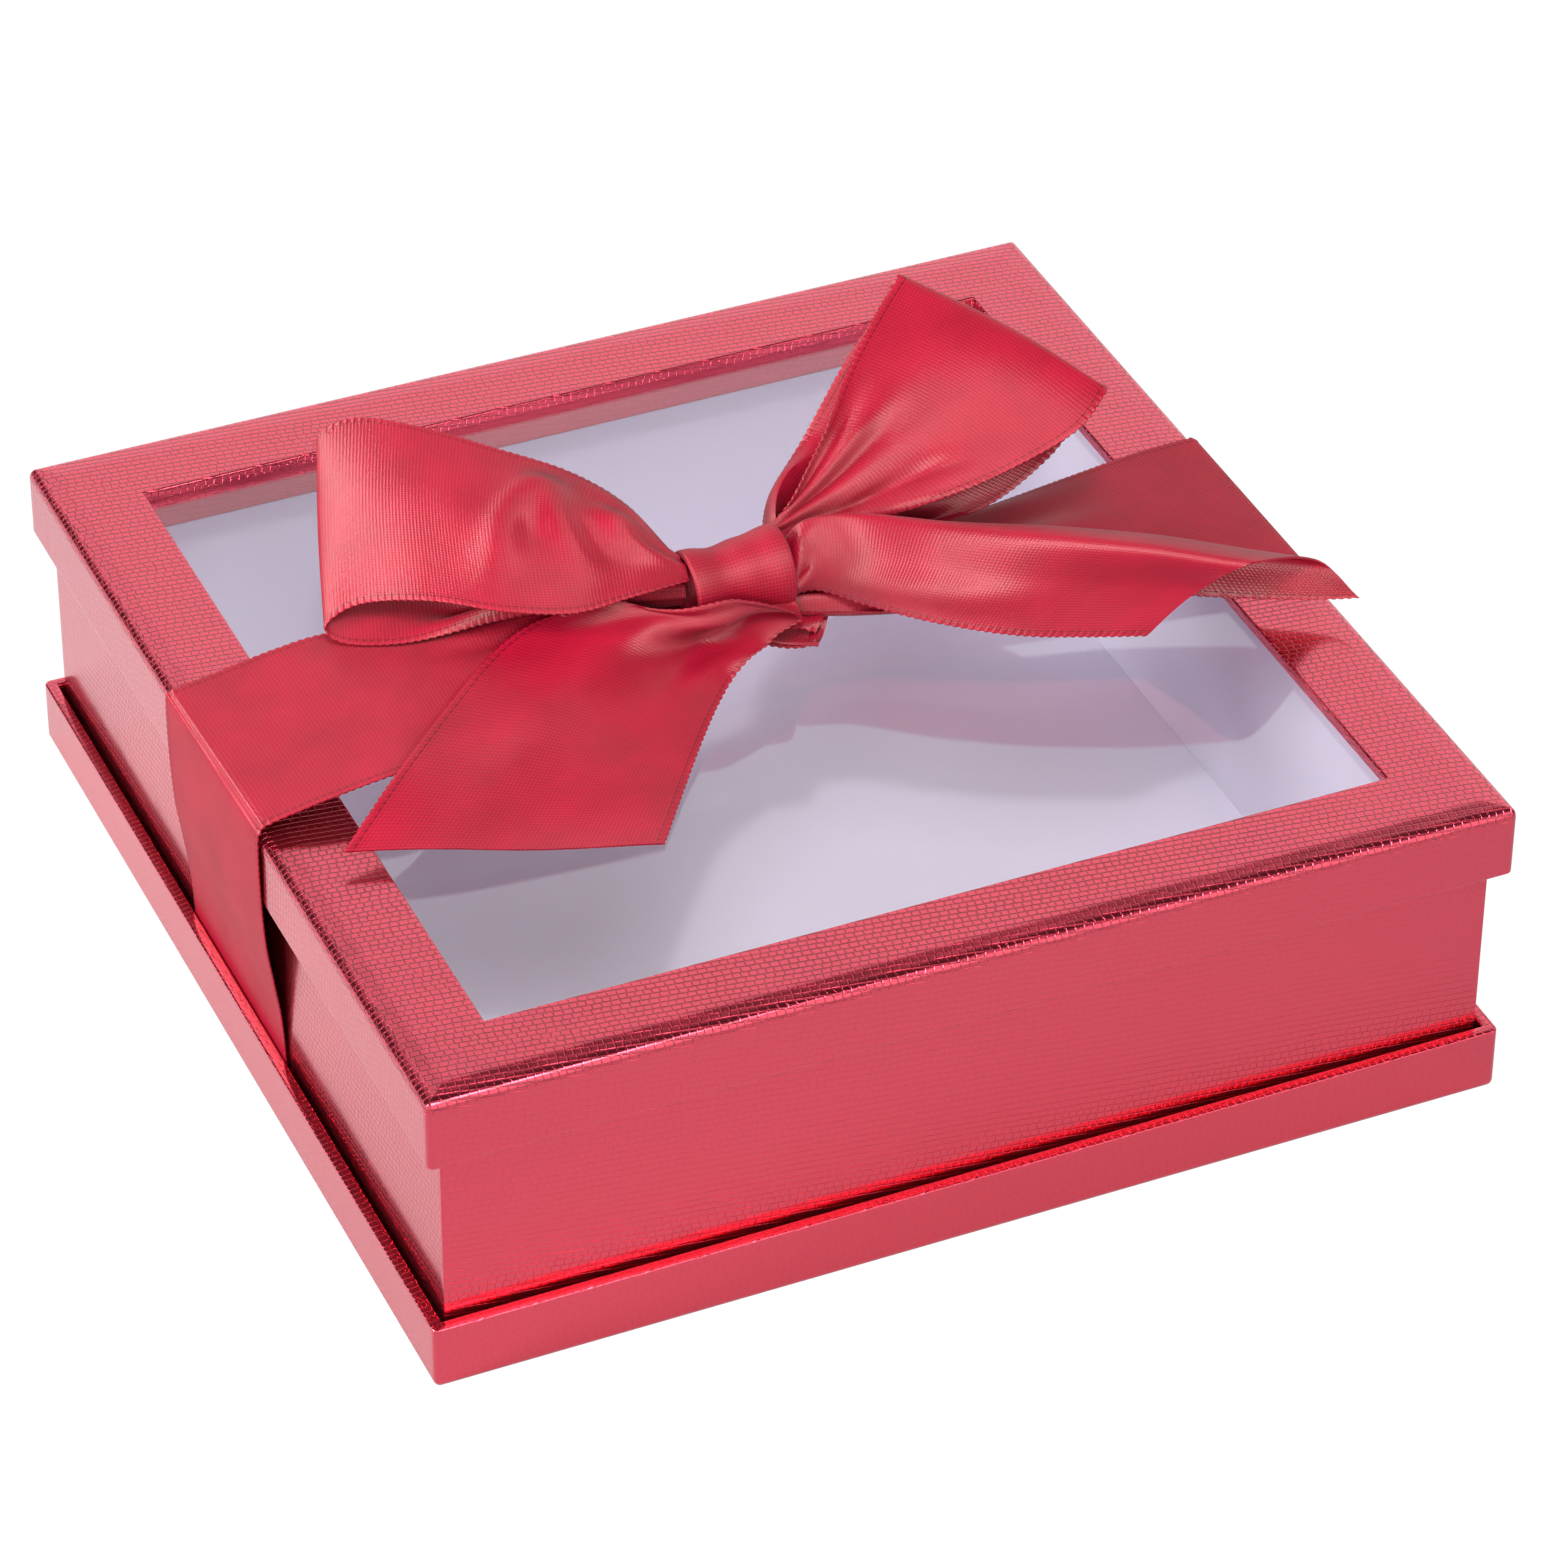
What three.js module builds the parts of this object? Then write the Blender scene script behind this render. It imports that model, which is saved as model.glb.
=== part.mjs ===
// A square cake box: a shallow tray with a standing neck, a lift-off lid with a clear window,
// and a satin ribbon that runs over the lid and is tied in a bow.
// Millimetres, +Z up, +X along the front, +Y to the back, origin under the middle of the tray.
import * as THREE from 'three';

// Overall sizes of the box
const boxWidth = 165;
const boxDepth = 165;
const boxHeight = 50.5;
const trayHeight = 10.5;
const lidHeight = 11.5;
const frameWidth = 13.8;

// Sheet materials and the glue between them
const boardThickness = 1.1;
const paperThickness = 0.2;
const filmThickness = 0.2;
const stayThickness = 0.15;
const glueGap = 0.05;

// How the covering paper is folded
const foldRadius = 1.2;
const rimRadius = 0.3;
const cornerRadius = 1.0;
const tightestCorner = 0.15;
const windowTurnIn = 8.8;
const neckTurnIn = 18;
const liningDrop = 11.5;
const liningOverlap = 1;

// The slot between the neck and the walls round it, which the ribbon's ends go into
const crevice = 0.8;

// Paper stays that hold the cut corners of the boards
const stayLeg = 10;
const stayMargin = 1.2;

// Satin ribbon
const ribbonWidth = 38;
const ribbonThickness = 0.35;
const ribbonClearance = 0.25;
const ribbonTuck = 6.5;
const slotMouth = 1.6;
const rimRise = 1.9;
const knotGap = 0.45;
const edgeLift = 1.8;

// The bow: every station below is drawn for a ribbon of this width, and grows with the real one
const widthAsDrawn = 38;
const bowScale = ribbonWidth / widthAsDrawn;

// The knot, a band of ribbon round the gathered roots; heights are above the lid
const knotLeft = -9.8 * bowScale;
const knotRight = 5.2 * bowScale;
const knotRadius = 6.3 * bowScale;
const knotHeight = 10 * bowScale;
const knotShoulder = 0.6 * bowScale;
const knotRounding = 1.1 * bowScale;
const knotWaist = 0.2 * bowScale;

// How finely each piece of ribbon is divided along and across
const runSteps = [34, 6];
const loopSteps = [44, 8];
const leftTailSteps = [24, 8];
const rightTailSteps = [22, 12];
const knotSides = 24;

// Layers inwards from the outer face of a tray or lid wall
const skinGap = stayThickness + 2 * glueGap;
const boardOuter = paperThickness + skinGap;
const boardInner = boardOuter + boardThickness;
const turnInOuter = boardInner + glueGap;
const wallThickness = turnInOuter + paperThickness;

// Layers inwards from the outer face of the neck
const neckInset = wallThickness + crevice;
const neckBoardOuter = neckInset + paperThickness + skinGap;
const neckBoardInner = neckBoardOuter + boardThickness;
const neckTurnOuter = neckBoardInner + glueGap;
const neckTurnInner = neckTurnOuter + paperThickness;
const neckLiningOuter = neckTurnInner + glueGap;
const neckLiningInner = neckLiningOuter + paperThickness;

// Levels of the tray, from the bottom up
const trayBoardBottom = paperThickness + glueGap;
const trayFloor = trayBoardBottom + boardThickness;
const neckFoot = trayFloor + glueGap;
const floorLiningTop = neckFoot + paperThickness;
const trayBoardTop = trayHeight - paperThickness - glueGap;

// Levels of the lid, from the top down
const lidBoardTop = boxHeight - paperThickness - glueGap;
const lidBoardBottom = lidBoardTop - boardThickness;
const windowTurnTop = lidBoardBottom - glueGap;
const windowTurnBottom = windowTurnTop - paperThickness;
const filmTop = windowTurnBottom - glueGap;
const filmBottom = filmTop - filmThickness;
const lidLiningTop = filmBottom - glueGap;
const lidLiningBottom = lidLiningTop - paperThickness;
const lidRim = boxHeight - lidHeight;
const neckTop = lidLiningBottom - glueGap;
const windowTurnInset = frameWidth - windowTurnIn;

// Where ribbon rests on the window, counted from the lid's top in the bow's own scale
const filmRest = (filmTop - boxHeight + ribbonClearance) / bowScale;

// Materials seen in the object
function material(color, roughness, metalness, opacity = 1) {
  return new THREE.MeshStandardMaterial({ color, roughness, metalness, opacity, transparent: opacity < 1 });
}
const embossedPaper = () => material(0xd4526b, 0.38, 0.45);
const greyBoard = () => material(0xa79f94, 0.9, 0);
const liningPaper = () => material(0xd8cfdf, 0.8, 0);
const stayPaper = () => material(0xc9b58e, 0.85, 0);
const clearFilm = () => material(0xf2f0f6, 0.08, 0, 0.3);
const satin = () => material(0xc8283f, 0.35, 0.05);

// The solid's volume, positive when its faces point out
function signedVolume(points, faces) {
  const a = new THREE.Vector3();
  const b = new THREE.Vector3();
  const c = new THREE.Vector3();
  let volume = 0;
  for (let i = 0; i < faces.length; i += 3) {
    a.fromArray(points, 3 * faces[i]);
    b.fromArray(points, 3 * faces[i + 1]);
    c.fromArray(points, 3 * faces[i + 2]);
    volume += a.dot(b.cross(c)) / 6;
  }
  return volume;
}

// A closed solid from points and triangles, turned so that its faces point out
function closedSolid(points, faces) {
  const outward = signedVolume(points, faces) > 0 ? faces : faces.slice().reverse();
  const geometry = new THREE.BufferGeometry();
  geometry.setAttribute('position', new THREE.Float32BufferAttribute(points, 3));
  geometry.setIndex(outward);
  geometry.computeVertexNormals();
  return geometry;
}

// Two triangles between rows of points that lie side by side
function addQuad(faces, a, b, c, d) {
  faces.push(a, b, c, a, c, d);
}

// One ring round the box at an inset from its outer face: a rectangle with rounded corners
const cornerSteps = 4;
function boxRing(inset, z) {
  const halfX = boxWidth / 2 - inset;
  const halfY = boxDepth / 2 - inset;
  const radius = Math.max(cornerRadius - inset, tightestCorner);
  const ring = [];
  for (let corner = 0; corner < 4; corner += 1) {
    const signX = corner === 0 || corner === 3 ? 1 : -1;
    const signY = corner < 2 ? 1 : -1;
    for (let step = 0; step <= cornerSteps; step += 1) {
      const angle = (corner + step / cornerSteps) * Math.PI / 2;
      const x = signX * (halfX - radius) + radius * Math.cos(angle);
      const y = signY * (halfY - radius) + radius * Math.sin(angle);
      ring.push([x, y, z]);
    }
  }
  return ring;
}

// A folded sheet carried round the box: profile points are [inset, z]
function sweepRound(profile, closedOnAxis) {
  const rings = profile.map(([inset, z]) => boxRing(inset, z));
  const points = rings.flat(2);
  const faces = [];
  const count = rings[0].length;
  const last = closedOnAxis ? rings.length - 1 : rings.length;
  for (let row = 0; row < last; row += 1) {
    const here = row * count;
    const there = ((row + 1) % rings.length) * count;
    for (let i = 0; i < count; i += 1) {
      const next = (i + 1) % count;
      addQuad(faces, here + i, here + next, there + next, there + i);
    }
  }
  if (closedOnAxis) {
    addCap(points, faces, 0, count, profile[0][1], true);
    addCap(points, faces, (rings.length - 1) * count, count, profile[rings.length - 1][1], false);
  }
  return closedSolid(points, faces);
}

// A flat fan that closes a ring at its middle
function addCap(points, faces, start, count, z, first) {
  const middle = points.length / 3;
  points.push(0, 0, z);
  for (let i = 0; i < count; i += 1) {
    const next = (i + 1) % count;
    if (first) faces.push(middle, start + next, start + i);
    else faces.push(middle, start + i, start + next);
  }
}

// Points of a quarter turn in a profile, about a centre, from one angle to another in degrees
function quarterTurn(inset, z, radius, from, to, steps = 3) {
  const points = [];
  for (let step = 0; step <= steps; step += 1) {
    const angle = THREE.MathUtils.degToRad(from + (to - from) * step / steps);
    points.push([inset + radius * Math.cos(angle), z + radius * Math.sin(angle)]);
  }
  return points;
}

// Paper over a rim: up the outer face, over the board's cut edge and down inside.
// direction is 1 for a rim that looks up and -1 for one that looks down.
function overRim(outerInset, innerInset, rim, direction) {
  const centre = rim - direction * rimRadius;
  return [
    ...quarterTurn(outerInset + rimRadius, centre, rimRadius, 180, 180 - 90 * direction, 2),
    ...quarterTurn(innerInset - rimRadius, centre, rimRadius, 90 * direction, 0, 2),
  ];
}

// Tray

function trayWrapGeometry() {
  const inner = foldRadius - paperThickness;
  return sweepRound([
    ...quarterTurn(foldRadius, foldRadius, foldRadius, 270, 180),
    ...overRim(0, wallThickness, trayHeight, 1),
    [wallThickness, trayFloor + glueGap],
    [turnInOuter, trayFloor + glueGap],
    [turnInOuter, trayHeight - paperThickness],
    [paperThickness, trayHeight - paperThickness],
    ...quarterTurn(foldRadius, foldRadius, inner, 180, 270),
  ], true);
}

function trayBoardGeometry() {
  const radius = foldRadius - boardOuter;
  return sweepRound([
    ...quarterTurn(boardOuter + radius, trayBoardBottom + radius, radius, 270, 180),
    [boardOuter, trayBoardTop],
    [boardInner, trayBoardTop],
    [boardInner, trayFloor],
  ], true);
}

// Neck, which stands in the tray and holds the lid

function neckBoardGeometry() {
  const top = neckTop - paperThickness - glueGap;
  return sweepRound([
    [neckBoardOuter, neckFoot],
    [neckBoardOuter, top],
    [neckBoardInner, top],
    [neckBoardInner, neckFoot],
  ], false);
}

function neckWrapGeometry() {
  const outer = neckInset + paperThickness;
  return sweepRound([
    [neckInset, neckFoot],
    ...overRim(neckInset, neckTurnInner, neckTop, 1),
    [neckTurnInner, neckTop - neckTurnIn],
    [neckTurnOuter, neckTop - neckTurnIn],
    [neckTurnOuter, neckTop - paperThickness],
    [outer, neckTop - paperThickness],
    [outer, neckFoot],
  ], false);
}

function neckLiningGeometry() {
  const top = neckTop - liningDrop;
  return sweepRound([
    [neckLiningOuter, neckFoot],
    [neckLiningOuter, top],
    [neckLiningInner, top],
    [neckLiningInner, neckFoot],
  ], false);
}

// The floor's lining goes in last, inside the neck's lining
function floorLiningGeometry() {
  const edge = neckLiningInner + glueGap;
  return sweepRound([
    [edge, neckFoot],
    [edge, floorLiningTop],
  ], true);
}

// Lid

function lidBoardGeometry() {
  const radius = foldRadius - boardOuter;
  const rim = lidRim + paperThickness + glueGap;
  const edge = frameWidth - paperThickness - glueGap;
  return sweepRound([
    [boardInner, rim],
    [boardOuter, rim],
    ...quarterTurn(boardOuter + radius, lidBoardTop - radius, radius, 180, 90),
    [edge, lidBoardTop],
    [edge, lidBoardBottom],
    [boardInner, lidBoardBottom],
  ], false);
}

function lidWrapGeometry() {
  const inner = foldRadius - paperThickness;
  const edge = frameWidth - paperThickness;
  const turnEnd = lidLiningBottom - glueGap;
  return sweepRound([
    [wallThickness, turnEnd],
    ...overRim(0, wallThickness, lidRim, -1).reverse(),
    ...quarterTurn(foldRadius, boxHeight - foldRadius, foldRadius, 180, 90),
    ...quarterTurn(frameWidth - rimRadius, boxHeight - rimRadius, rimRadius, 90, 0, 2),
    [frameWidth, windowTurnBottom],
    [windowTurnInset, windowTurnBottom],
    [windowTurnInset, windowTurnTop],
    [edge, windowTurnTop],
    [edge, boxHeight - paperThickness],
    ...quarterTurn(foldRadius, boxHeight - foldRadius, inner, 90, 180),
    [paperThickness, lidRim + paperThickness],
    [turnInOuter, lidRim + paperThickness],
    [turnInOuter, turnEnd],
  ], false);
}

function windowFilmGeometry() {
  const edge = windowTurnInset - liningOverlap;
  return sweepRound([
    [edge, filmBottom],
    [edge, filmTop],
  ], true);
}

function lidLiningGeometry() {
  const outer = wallThickness + glueGap;
  const inner = frameWidth - liningOverlap;
  return sweepRound([
    [outer, lidLiningBottom],
    [outer, lidLiningTop],
    [inner, lidLiningTop],
    [inner, lidLiningBottom],
  ], false);
}

// A paper stay: an L-shaped strip glued round one upright corner of a board
function stayGeometry(boardInset, bottom, top, signX, signY) {
  const near = boardInset - glueGap;
  const far = near - stayThickness;
  const outline = (inset) => {
    const radius = Math.max(cornerRadius - inset, tightestCorner);
    const edgeX = boxWidth / 2 - inset;
    const edgeY = boxDepth / 2 - inset;
    const path = [[boxWidth / 2 - stayLeg, edgeY]];
    for (let step = 0; step <= cornerSteps; step += 1) {
      const angle = (1 - step / cornerSteps) * Math.PI / 2;
      path.push([edgeX - radius + radius * Math.cos(angle), edgeY - radius + radius * Math.sin(angle)]);
    }
    path.push([edgeX, boxDepth / 2 - stayLeg]);
    return path;
  };
  const loop = [...outline(near), ...outline(far).reverse()];
  const points = [];
  for (const z of [bottom, top]) loop.forEach(([x, y]) => points.push(signX * x, signY * y, z));
  const faces = [];
  const count = loop.length;
  for (let i = 0; i < count; i += 1) {
    const next = (i + 1) % count;
    addQuad(faces, i, next, count + next, count + i);
  }
  for (let i = 0; i < count / 2 - 1; i += 1) {
    const back = count - 1 - i;
    addQuad(faces, i, back, back - 1, i + 1);
    addQuad(faces, count + i, count + i + 1, count + back - 1, count + back);
  }
  return closedSolid(points, faces);
}

// Ribbon

// A point between four stations on a smooth curve through them
function throughPoints(before, from, to, after, t) {
  return from.map((value, axis) => 0.5 * (
    2 * value
    + (to[axis] - before[axis]) * t
    + (2 * before[axis] - 5 * value + 4 * to[axis] - after[axis]) * t * t
    + (3 * value - before[axis] - 3 * to[axis] + after[axis]) * t * t * t
  ));
}

// A point on the smooth curve through a list of stations, at a place counted in stations
function alongStations(stations, place) {
  const last = stations.length - 1;
  const index = Math.min(Math.max(Math.floor(place), 0), last - 1);
  const from = stations[index];
  const to = stations[index + 1];
  const before = index > 0 ? stations[index - 1] : from.map((value, axis) => 2 * value - to[axis]);
  const after = index + 2 <= last ? stations[index + 2] : to.map((value, axis) => 2 * value - from[axis]);
  return throughPoints(before, from, to, after, place - index);
}

// A strip of ribbon: each station holds points across the ribbon, from one selvedge to the other.
// cut gives the place, in stations, where each selvedge ends, so that an end can be cut slanting.
function ribbonStrip(stations, [steps, stepsAcross], cut) {
  const last = stations.length - 1;
  const ends = cut ?? [last, last];
  const acrossLast = stations[0].length - 1;
  const columns = stations[0].map((_, column) => stations.map((station) => station[column]));
  const surface = (across, along) => {
    const place = along * THREE.MathUtils.lerp(ends[0], ends[1], across);
    const row = columns.map((column) => alongStations(column, place));
    return new THREE.Vector3(...alongStations(row, across * acrossLast));
  };
  const points = [];
  const nudge = 1e-4;
  const layer = (side) => {
    for (let i = 0; i <= steps; i += 1) {
      for (let j = 0; j <= stepsAcross; j += 1) {
        const along = i / steps;
        const across = j / stepsAcross;
        const tangent = surface(across, Math.min(along + nudge, 1)).sub(surface(across, Math.max(along - nudge, 0)));
        const width = surface(Math.min(across + nudge, 1), along).sub(surface(Math.max(across - nudge, 0), along));
        const normal = tangent.cross(width).normalize();
        const point = surface(across, along).addScaledVector(normal, side * ribbonThickness / 2);
        points.push(point.x, point.y, point.z);
      }
    }
  };
  layer(1);
  layer(-1);
  const row = stepsAcross + 1;
  const under = (steps + 1) * row;
  const faces = [];
  for (let i = 0; i < steps; i += 1) {
    for (let j = 0; j < stepsAcross; j += 1) {
      const a = i * row + j;
      addQuad(faces, a, a + row, a + row + 1, a + 1);
      addQuad(faces, under + a, under + a + 1, under + a + row + 1, under + a + row);
    }
    const near = i * row;
    const far = near + stepsAcross;
    addQuad(faces, near, under + near, under + near + row, near + row);
    addQuad(faces, far, far + row, under + far + row, under + far);
  }
  for (let j = 0; j < stepsAcross; j += 1) {
    const end = steps * row + j;
    addQuad(faces, j, j + 1, under + j + 1, under + j);
    addQuad(faces, end, under + end, under + end + 1, end + 1);
  }
  return closedSolid(points, faces);
}

// Bow stations as drawn, sized for the ribbon and lifted onto the lid
function onLid(stations) {
  const lift = boxHeight + ribbonThickness / 2;
  return stations.map((station) => station.map(
    ([x, y, z]) => [x * bowScale, y * bowScale, lift + z * bowScale],
  ));
}

// The half ribbon on one side: out of the slot behind the tray wall, up the side, over the lid's edge
// and in to the knot, narrowing as it is gathered. side is -1 on the left and 1 on the right.
function ribbonRunGeometry(side, gather) {
  const half = boxWidth / 2;
  const halfRibbon = ribbonWidth / 2;
  const offset = ribbonClearance + ribbonThickness / 2;
  const slot = half - neckInset + crevice / 2;
  const proud = half + offset;
  const top = boxHeight + offset;
  const leaning = (share) => [
    THREE.MathUtils.lerp(slot, proud, THREE.MathUtils.smoothstep(share, 0, 1)),
    THREE.MathUtils.lerp(trayHeight, lidRim, share),
  ];
  const overEdge = quarterTurn(half - foldRadius, boxHeight - foldRadius, foldRadius + offset, 0, 90, 2);
  const upright = [
    [slot, trayHeight - ribbonTuck],
    [slot, trayHeight - slotMouth],
    leaning(0.25),
    leaning(0.5),
    leaning(0.75),
    [proud, lidRim + rimRise],
    ...overEdge,
  ];
  const stations = upright.map(([x, z], index) => {
    const frontLift = edgeLift * THREE.MathUtils.smoothstep(index, 5, upright.length - 1);
    return [
      [side * x, -halfRibbon, side < 0 ? z + frontLift : z],
      [side * x, 0, side < 0 ? z + frontLift / 2 : z],
      [side * x, halfRibbon, z],
    ];
  });
  const inner = Math.abs(side < 0 ? knotLeft : knotRight) + knotGap;
  const reach = proud - inner;
  gather.forEach(({ place, front, middle, back }) => {
    const x = side * (inner + reach * place);
    stations.push([front, middle, back].map(([y, z]) => [x, y * bowScale, top + z * bowScale]));
  });
  return ribbonStrip(stations, runSteps);
}

const leftGather = [
  { place: 0.9, front: [-19, 3.0], middle: [0, 2.0], back: [19, 0.9] },
  { place: 0.78, front: [-19, 4.4], middle: [0, 3.8], back: [18.3, 3.0] },
  { place: 0.68, front: [-18.9, 5.2], middle: [0, 5.2], back: [17.3, 4.4] },
  { place: 0.54, front: [-16.6, 4.4], middle: [0, 6.0], back: [15, 5.2] },
  { place: 0.36, front: [-12.4, 4.6], middle: [0, 6.4], back: [11.5, 6.0] },
  { place: 0.16, front: [-7.5, 5.6], middle: [0, 6.2], back: [7, 6.0] },
  { place: 0, front: [-4.2, 5.6], middle: [0, 5.8], back: [4.2, 5.8] },
];

const rightGather = [
  { place: 0.86, front: [-18, 0.5], middle: [0, 0.9], back: [18, 0.5] },
  { place: 0.7, front: [-15.6, 1.0], middle: [0, 1.6], back: [15.6, 1.0] },
  { place: 0.5, front: [-12.6, 1.7], middle: [0, 2.4], back: [12.6, 1.7] },
  { place: 0.3, front: [-9.6, 2.4], middle: [0, 3.2], back: [9.6, 2.6] },
  { place: 0.13, front: [-6.8, 3.4], middle: [0, 4.2], back: [6.8, 3.6] },
  { place: 0, front: [-4.4, 4.6], middle: [0, 5.2], back: [4.4, 4.8] },
];

// Where the roots of the bow stop, clear of the knot's ends
const leftRoot = knotLeft / bowScale - knotGap;
const rightRoot = knotRight / bowScale + knotGap;

// Left loop: out over the top, round the fold and back underneath; front selvedge first
const leftLoop = [
  [[leftRoot, -2.6, 13.4], [leftRoot, 0.8, 14.9], [leftRoot, 4.2, 13.4]],
  [[-20.0, -4.4, 14.4], [-17.5, 5.4, 19.4], [-14.0, 11.5, 18.6]],
  [[-29.3, -5.6, 15.0], [-25.5, 9.5, 20.6], [-19.5, 20.0, 20.6]],
  [[-38.5, -2.0, 15.5], [-34.0, 14.5, 20.4], [-27.5, 28.0, 21.8]],
  [[-47.5, 5.0, 15.2], [-42.5, 21.0, 20.4], [-36.0, 36.6, 22.3]],
  [[-55.6, 12.0, 12.2], [-50.0, 28.0, 17.6], [-43.5, 44.2, 21.2]],
  [[-59.7, 15.0, 7.6], [-54.5, 31.0, 12.8], [-48.5, 47.2, 17.6]],
  [[-57.5, 12.2, 6.0], [-52.5, 27.5, 10.2], [-46.5, 43.6, 13.8]],
  [[-50.0, 8.0, 6.7], [-45.5, 21.5, 9.2], [-40.0, 36.0, 11.6]],
  [[-38.5, 5.0, 8.4], [-35.5, 14.5, 8.8], [-31.0, 25.5, 10.0]],
  [[-26.0, 2.4, 9.2], [-24.0, 8.5, 9.0], [-21.5, 15.0, 9.4]],
  [[leftRoot, -1.2, 9.0], [leftRoot, 1.6, 9.0], [leftRoot, 4.2, 9.2]],
];

// Right loop: it stands up from the knot, so that its fold is the highest part of the bow
const rightLoop = [
  [[rightRoot, 3.6, 12.0], [rightRoot, 4.4, 13.4], [rightRoot, 5.4, 12.6]],
  [[12.0, 4.0, 12.0], [10.8, 5.6, 14.6], [10.0, 7.2, 15.4]],
  [[20.5, 2.4, 12.4], [18.0, 7.0, 16.6], [14.2, 10.2, 18.6]],
  [[30.0, -0.7, 15.4], [25.5, 8.8, 19.6], [19.2, 14.2, 22.4]],
  [[41.0, -2.8, 19.4], [34.5, 10.6, 24.0], [26.0, 21.4, 26.4]],
  [[51.0, -3.2, 23.6], [44.0, 12.6, 28.2], [33.8, 28.4, 30.2]],
  [[57.2, 0.2, 26.6], [49.0, 15.8, 30.0], [38.6, 32.2, 32.2]],
  [[57.0, 1.8, 25.6], [49.2, 17.2, 28.6], [38.8, 33.6, 31.2]],
  [[54.0, 1.4, 22.6], [45.6, 16.0, 24.2], [35.4, 32.4, 27.2]],
  [[47.8, 0.6, 16.6], [38.6, 13.4, 18.6], [27.8, 28.6, 21.2]],
  [[38.0, 1.8, 10.0], [28.6, 11.8, 13.2], [19.2, 23.0, 14.6]],
  [[23.0, 4.6, 7.6], [17.0, 10.0, 9.8], [10.8, 16.4, 11.2]],
  [[rightRoot, 3.2, 7.2], [rightRoot, 5.2, 8.4], [rightRoot, 7.2, 10.0]],
];

// Left tail: from under the knot, over the front of the run and down onto the window; upper selvedge first
const leftTail = [
  [[4.8, -7.4, 7.6], [4.9, -7.2, 7.0], [5.0, -6.8, 6.4]],
  [[-4.1, -7.0, 11.6], [-1.6, -7.6, 8.4], [0.9, -7.2, 5.0]],
  [[-11.6, -6.6, 12.4], [-6.8, -8.8, 8.6], [-2.1, -8.4, 3.6]],
  [[-20.0, -2.0, 11.6], [-13.2, -8.0, 8.6], [-5.4, -10.4, 2.6]],
  [[-27.2, -0.6, 11.2], [-18.0, -8.4, 8.2], [-8.6, -13.0, 1.6]],
  [[-34.0, -0.2, 10.4], [-23.6, -10.4, 7.4], [-12.9, -17.6, 0.8]],
  [[-41.3, -3.2, 9.2], [-30.0, -14.8, 5.8], [-17.8, -23.7, 0.2]],
  [[-50.6, -10.6, 8.2], [-37.6, -22.0, 4.2], [-23.2, -30.7, -0.8]],
  [[-62.8, -21.4, 7.0], [-47.2, -31.8, 1.6], [-30.6, -40.8, filmRest]],
  [[-74.0, -29.8, 2.6], [-56.5, -41.2, 0.6], [-38.5, -51.5, filmRest]],
];
const leftTailCut = [9, 8];

// Right tail: folded lengthwise into a ridge; front selvedge, crest and the rounded back flap
const rightTail = [
  [[rightRoot, -4.0, 8.4], [rightRoot, -3.0, 12.0], [rightRoot, 0.2, 14.4], [rightRoot, 1.6, 11.4], [rightRoot, 1.4, 8.2]],
  [[9.8, -3.8, 7.0], [9.8, -2.6, 12.4], [9.6, 0.8, 16.2], [10.4, 2.0, 12.2], [10.6, 1.6, 7.8]],
  [[16.0, -7.2, 4.8], [16.6, -5.6, 11.4], [17.2, -2.0, 16.8], [19.2, 0.2, 12.4], [19.2, -0.4, 7.2]],
  [[24.2, -13.5, 3.4], [25.2, -11.6, 10.6], [26.4, -8.9, 17.0], [29.4, -5.2, 12.8], [28.6, -6.4, 6.2]],
  [[33.8, -19.4, 2.4], [34.6, -17.4, 10.0], [36.0, -15.2, 16.9], [41.4, -9.8, 12.6], [40.2, -11.2, 5.2]],
  [[42.6, -23.1, 2.0], [43.4, -21.3, 9.6], [44.8, -20.2, 16.5], [51.0, -13.4, 11.6], [49.8, -15.2, 4.0]],
  [[51.7, -26.8, 2.0], [52.4, -25.2, 9.2], [53.4, -24.9, 15.8], [59.8, -17.4, 10.6], [58.6, -19.8, 3.0]],
  [[62.8, -31.4, 2.0], [63.0, -30.2, 8.6], [63.6, -30.2, 14.2], [70.6, -22.6, 8.8], [69.6, -25.2, 2.6]],
  [[74.0, -36.2, 2.4], [74.2, -35.2, 8.0], [74.6, -35.2, 12.8], [80.6, -27.8, 7.4], [79.4, -30.6, 3.2]],
  [[82.0, -39.8, 3.0], [82.0, -39.0, 7.6], [82.4, -38.8, 11.6], [87.4, -32.6, 6.8], [86.2, -35.2, 5.0]],
];
const rightTailCut = [6, 8.5];

// The knot: a turned band with rounded shoulders and a slight waist, its axis across the lid
function knotGeometry() {
  const profile = [
    new THREE.Vector2(0, knotLeft),
    new THREE.Vector2(knotRadius - knotShoulder, knotLeft),
    new THREE.Vector2(knotRadius, knotLeft + knotRounding),
    new THREE.Vector2(knotRadius - knotWaist, (knotLeft + knotRight) / 2),
    new THREE.Vector2(knotRadius, knotRight - knotRounding),
    new THREE.Vector2(knotRadius - knotShoulder, knotRight),
    new THREE.Vector2(0, knotRight),
  ];
  const band = new THREE.LatheGeometry(profile, knotSides);
  band.rotateZ(-Math.PI / 2);
  band.translate(0, 0, boxHeight + knotHeight);
  return band;
}

// The first crossing of the ribbon, a flattened fold under the knot
const crossing = { x: 5.2, y: -3.6, z: 2.0, halfX: 6.8, halfY: 5.4, halfZ: 1.7 };
function crossingGeometry() {
  const fold = new THREE.SphereGeometry(bowScale, 18, 10);
  fold.scale(crossing.halfX, crossing.halfY, crossing.halfZ);
  fold.translate(crossing.x * bowScale, crossing.y * bowScale, boxHeight + crossing.z * bowScale);
  return fold;
}

// Assembly

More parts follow.
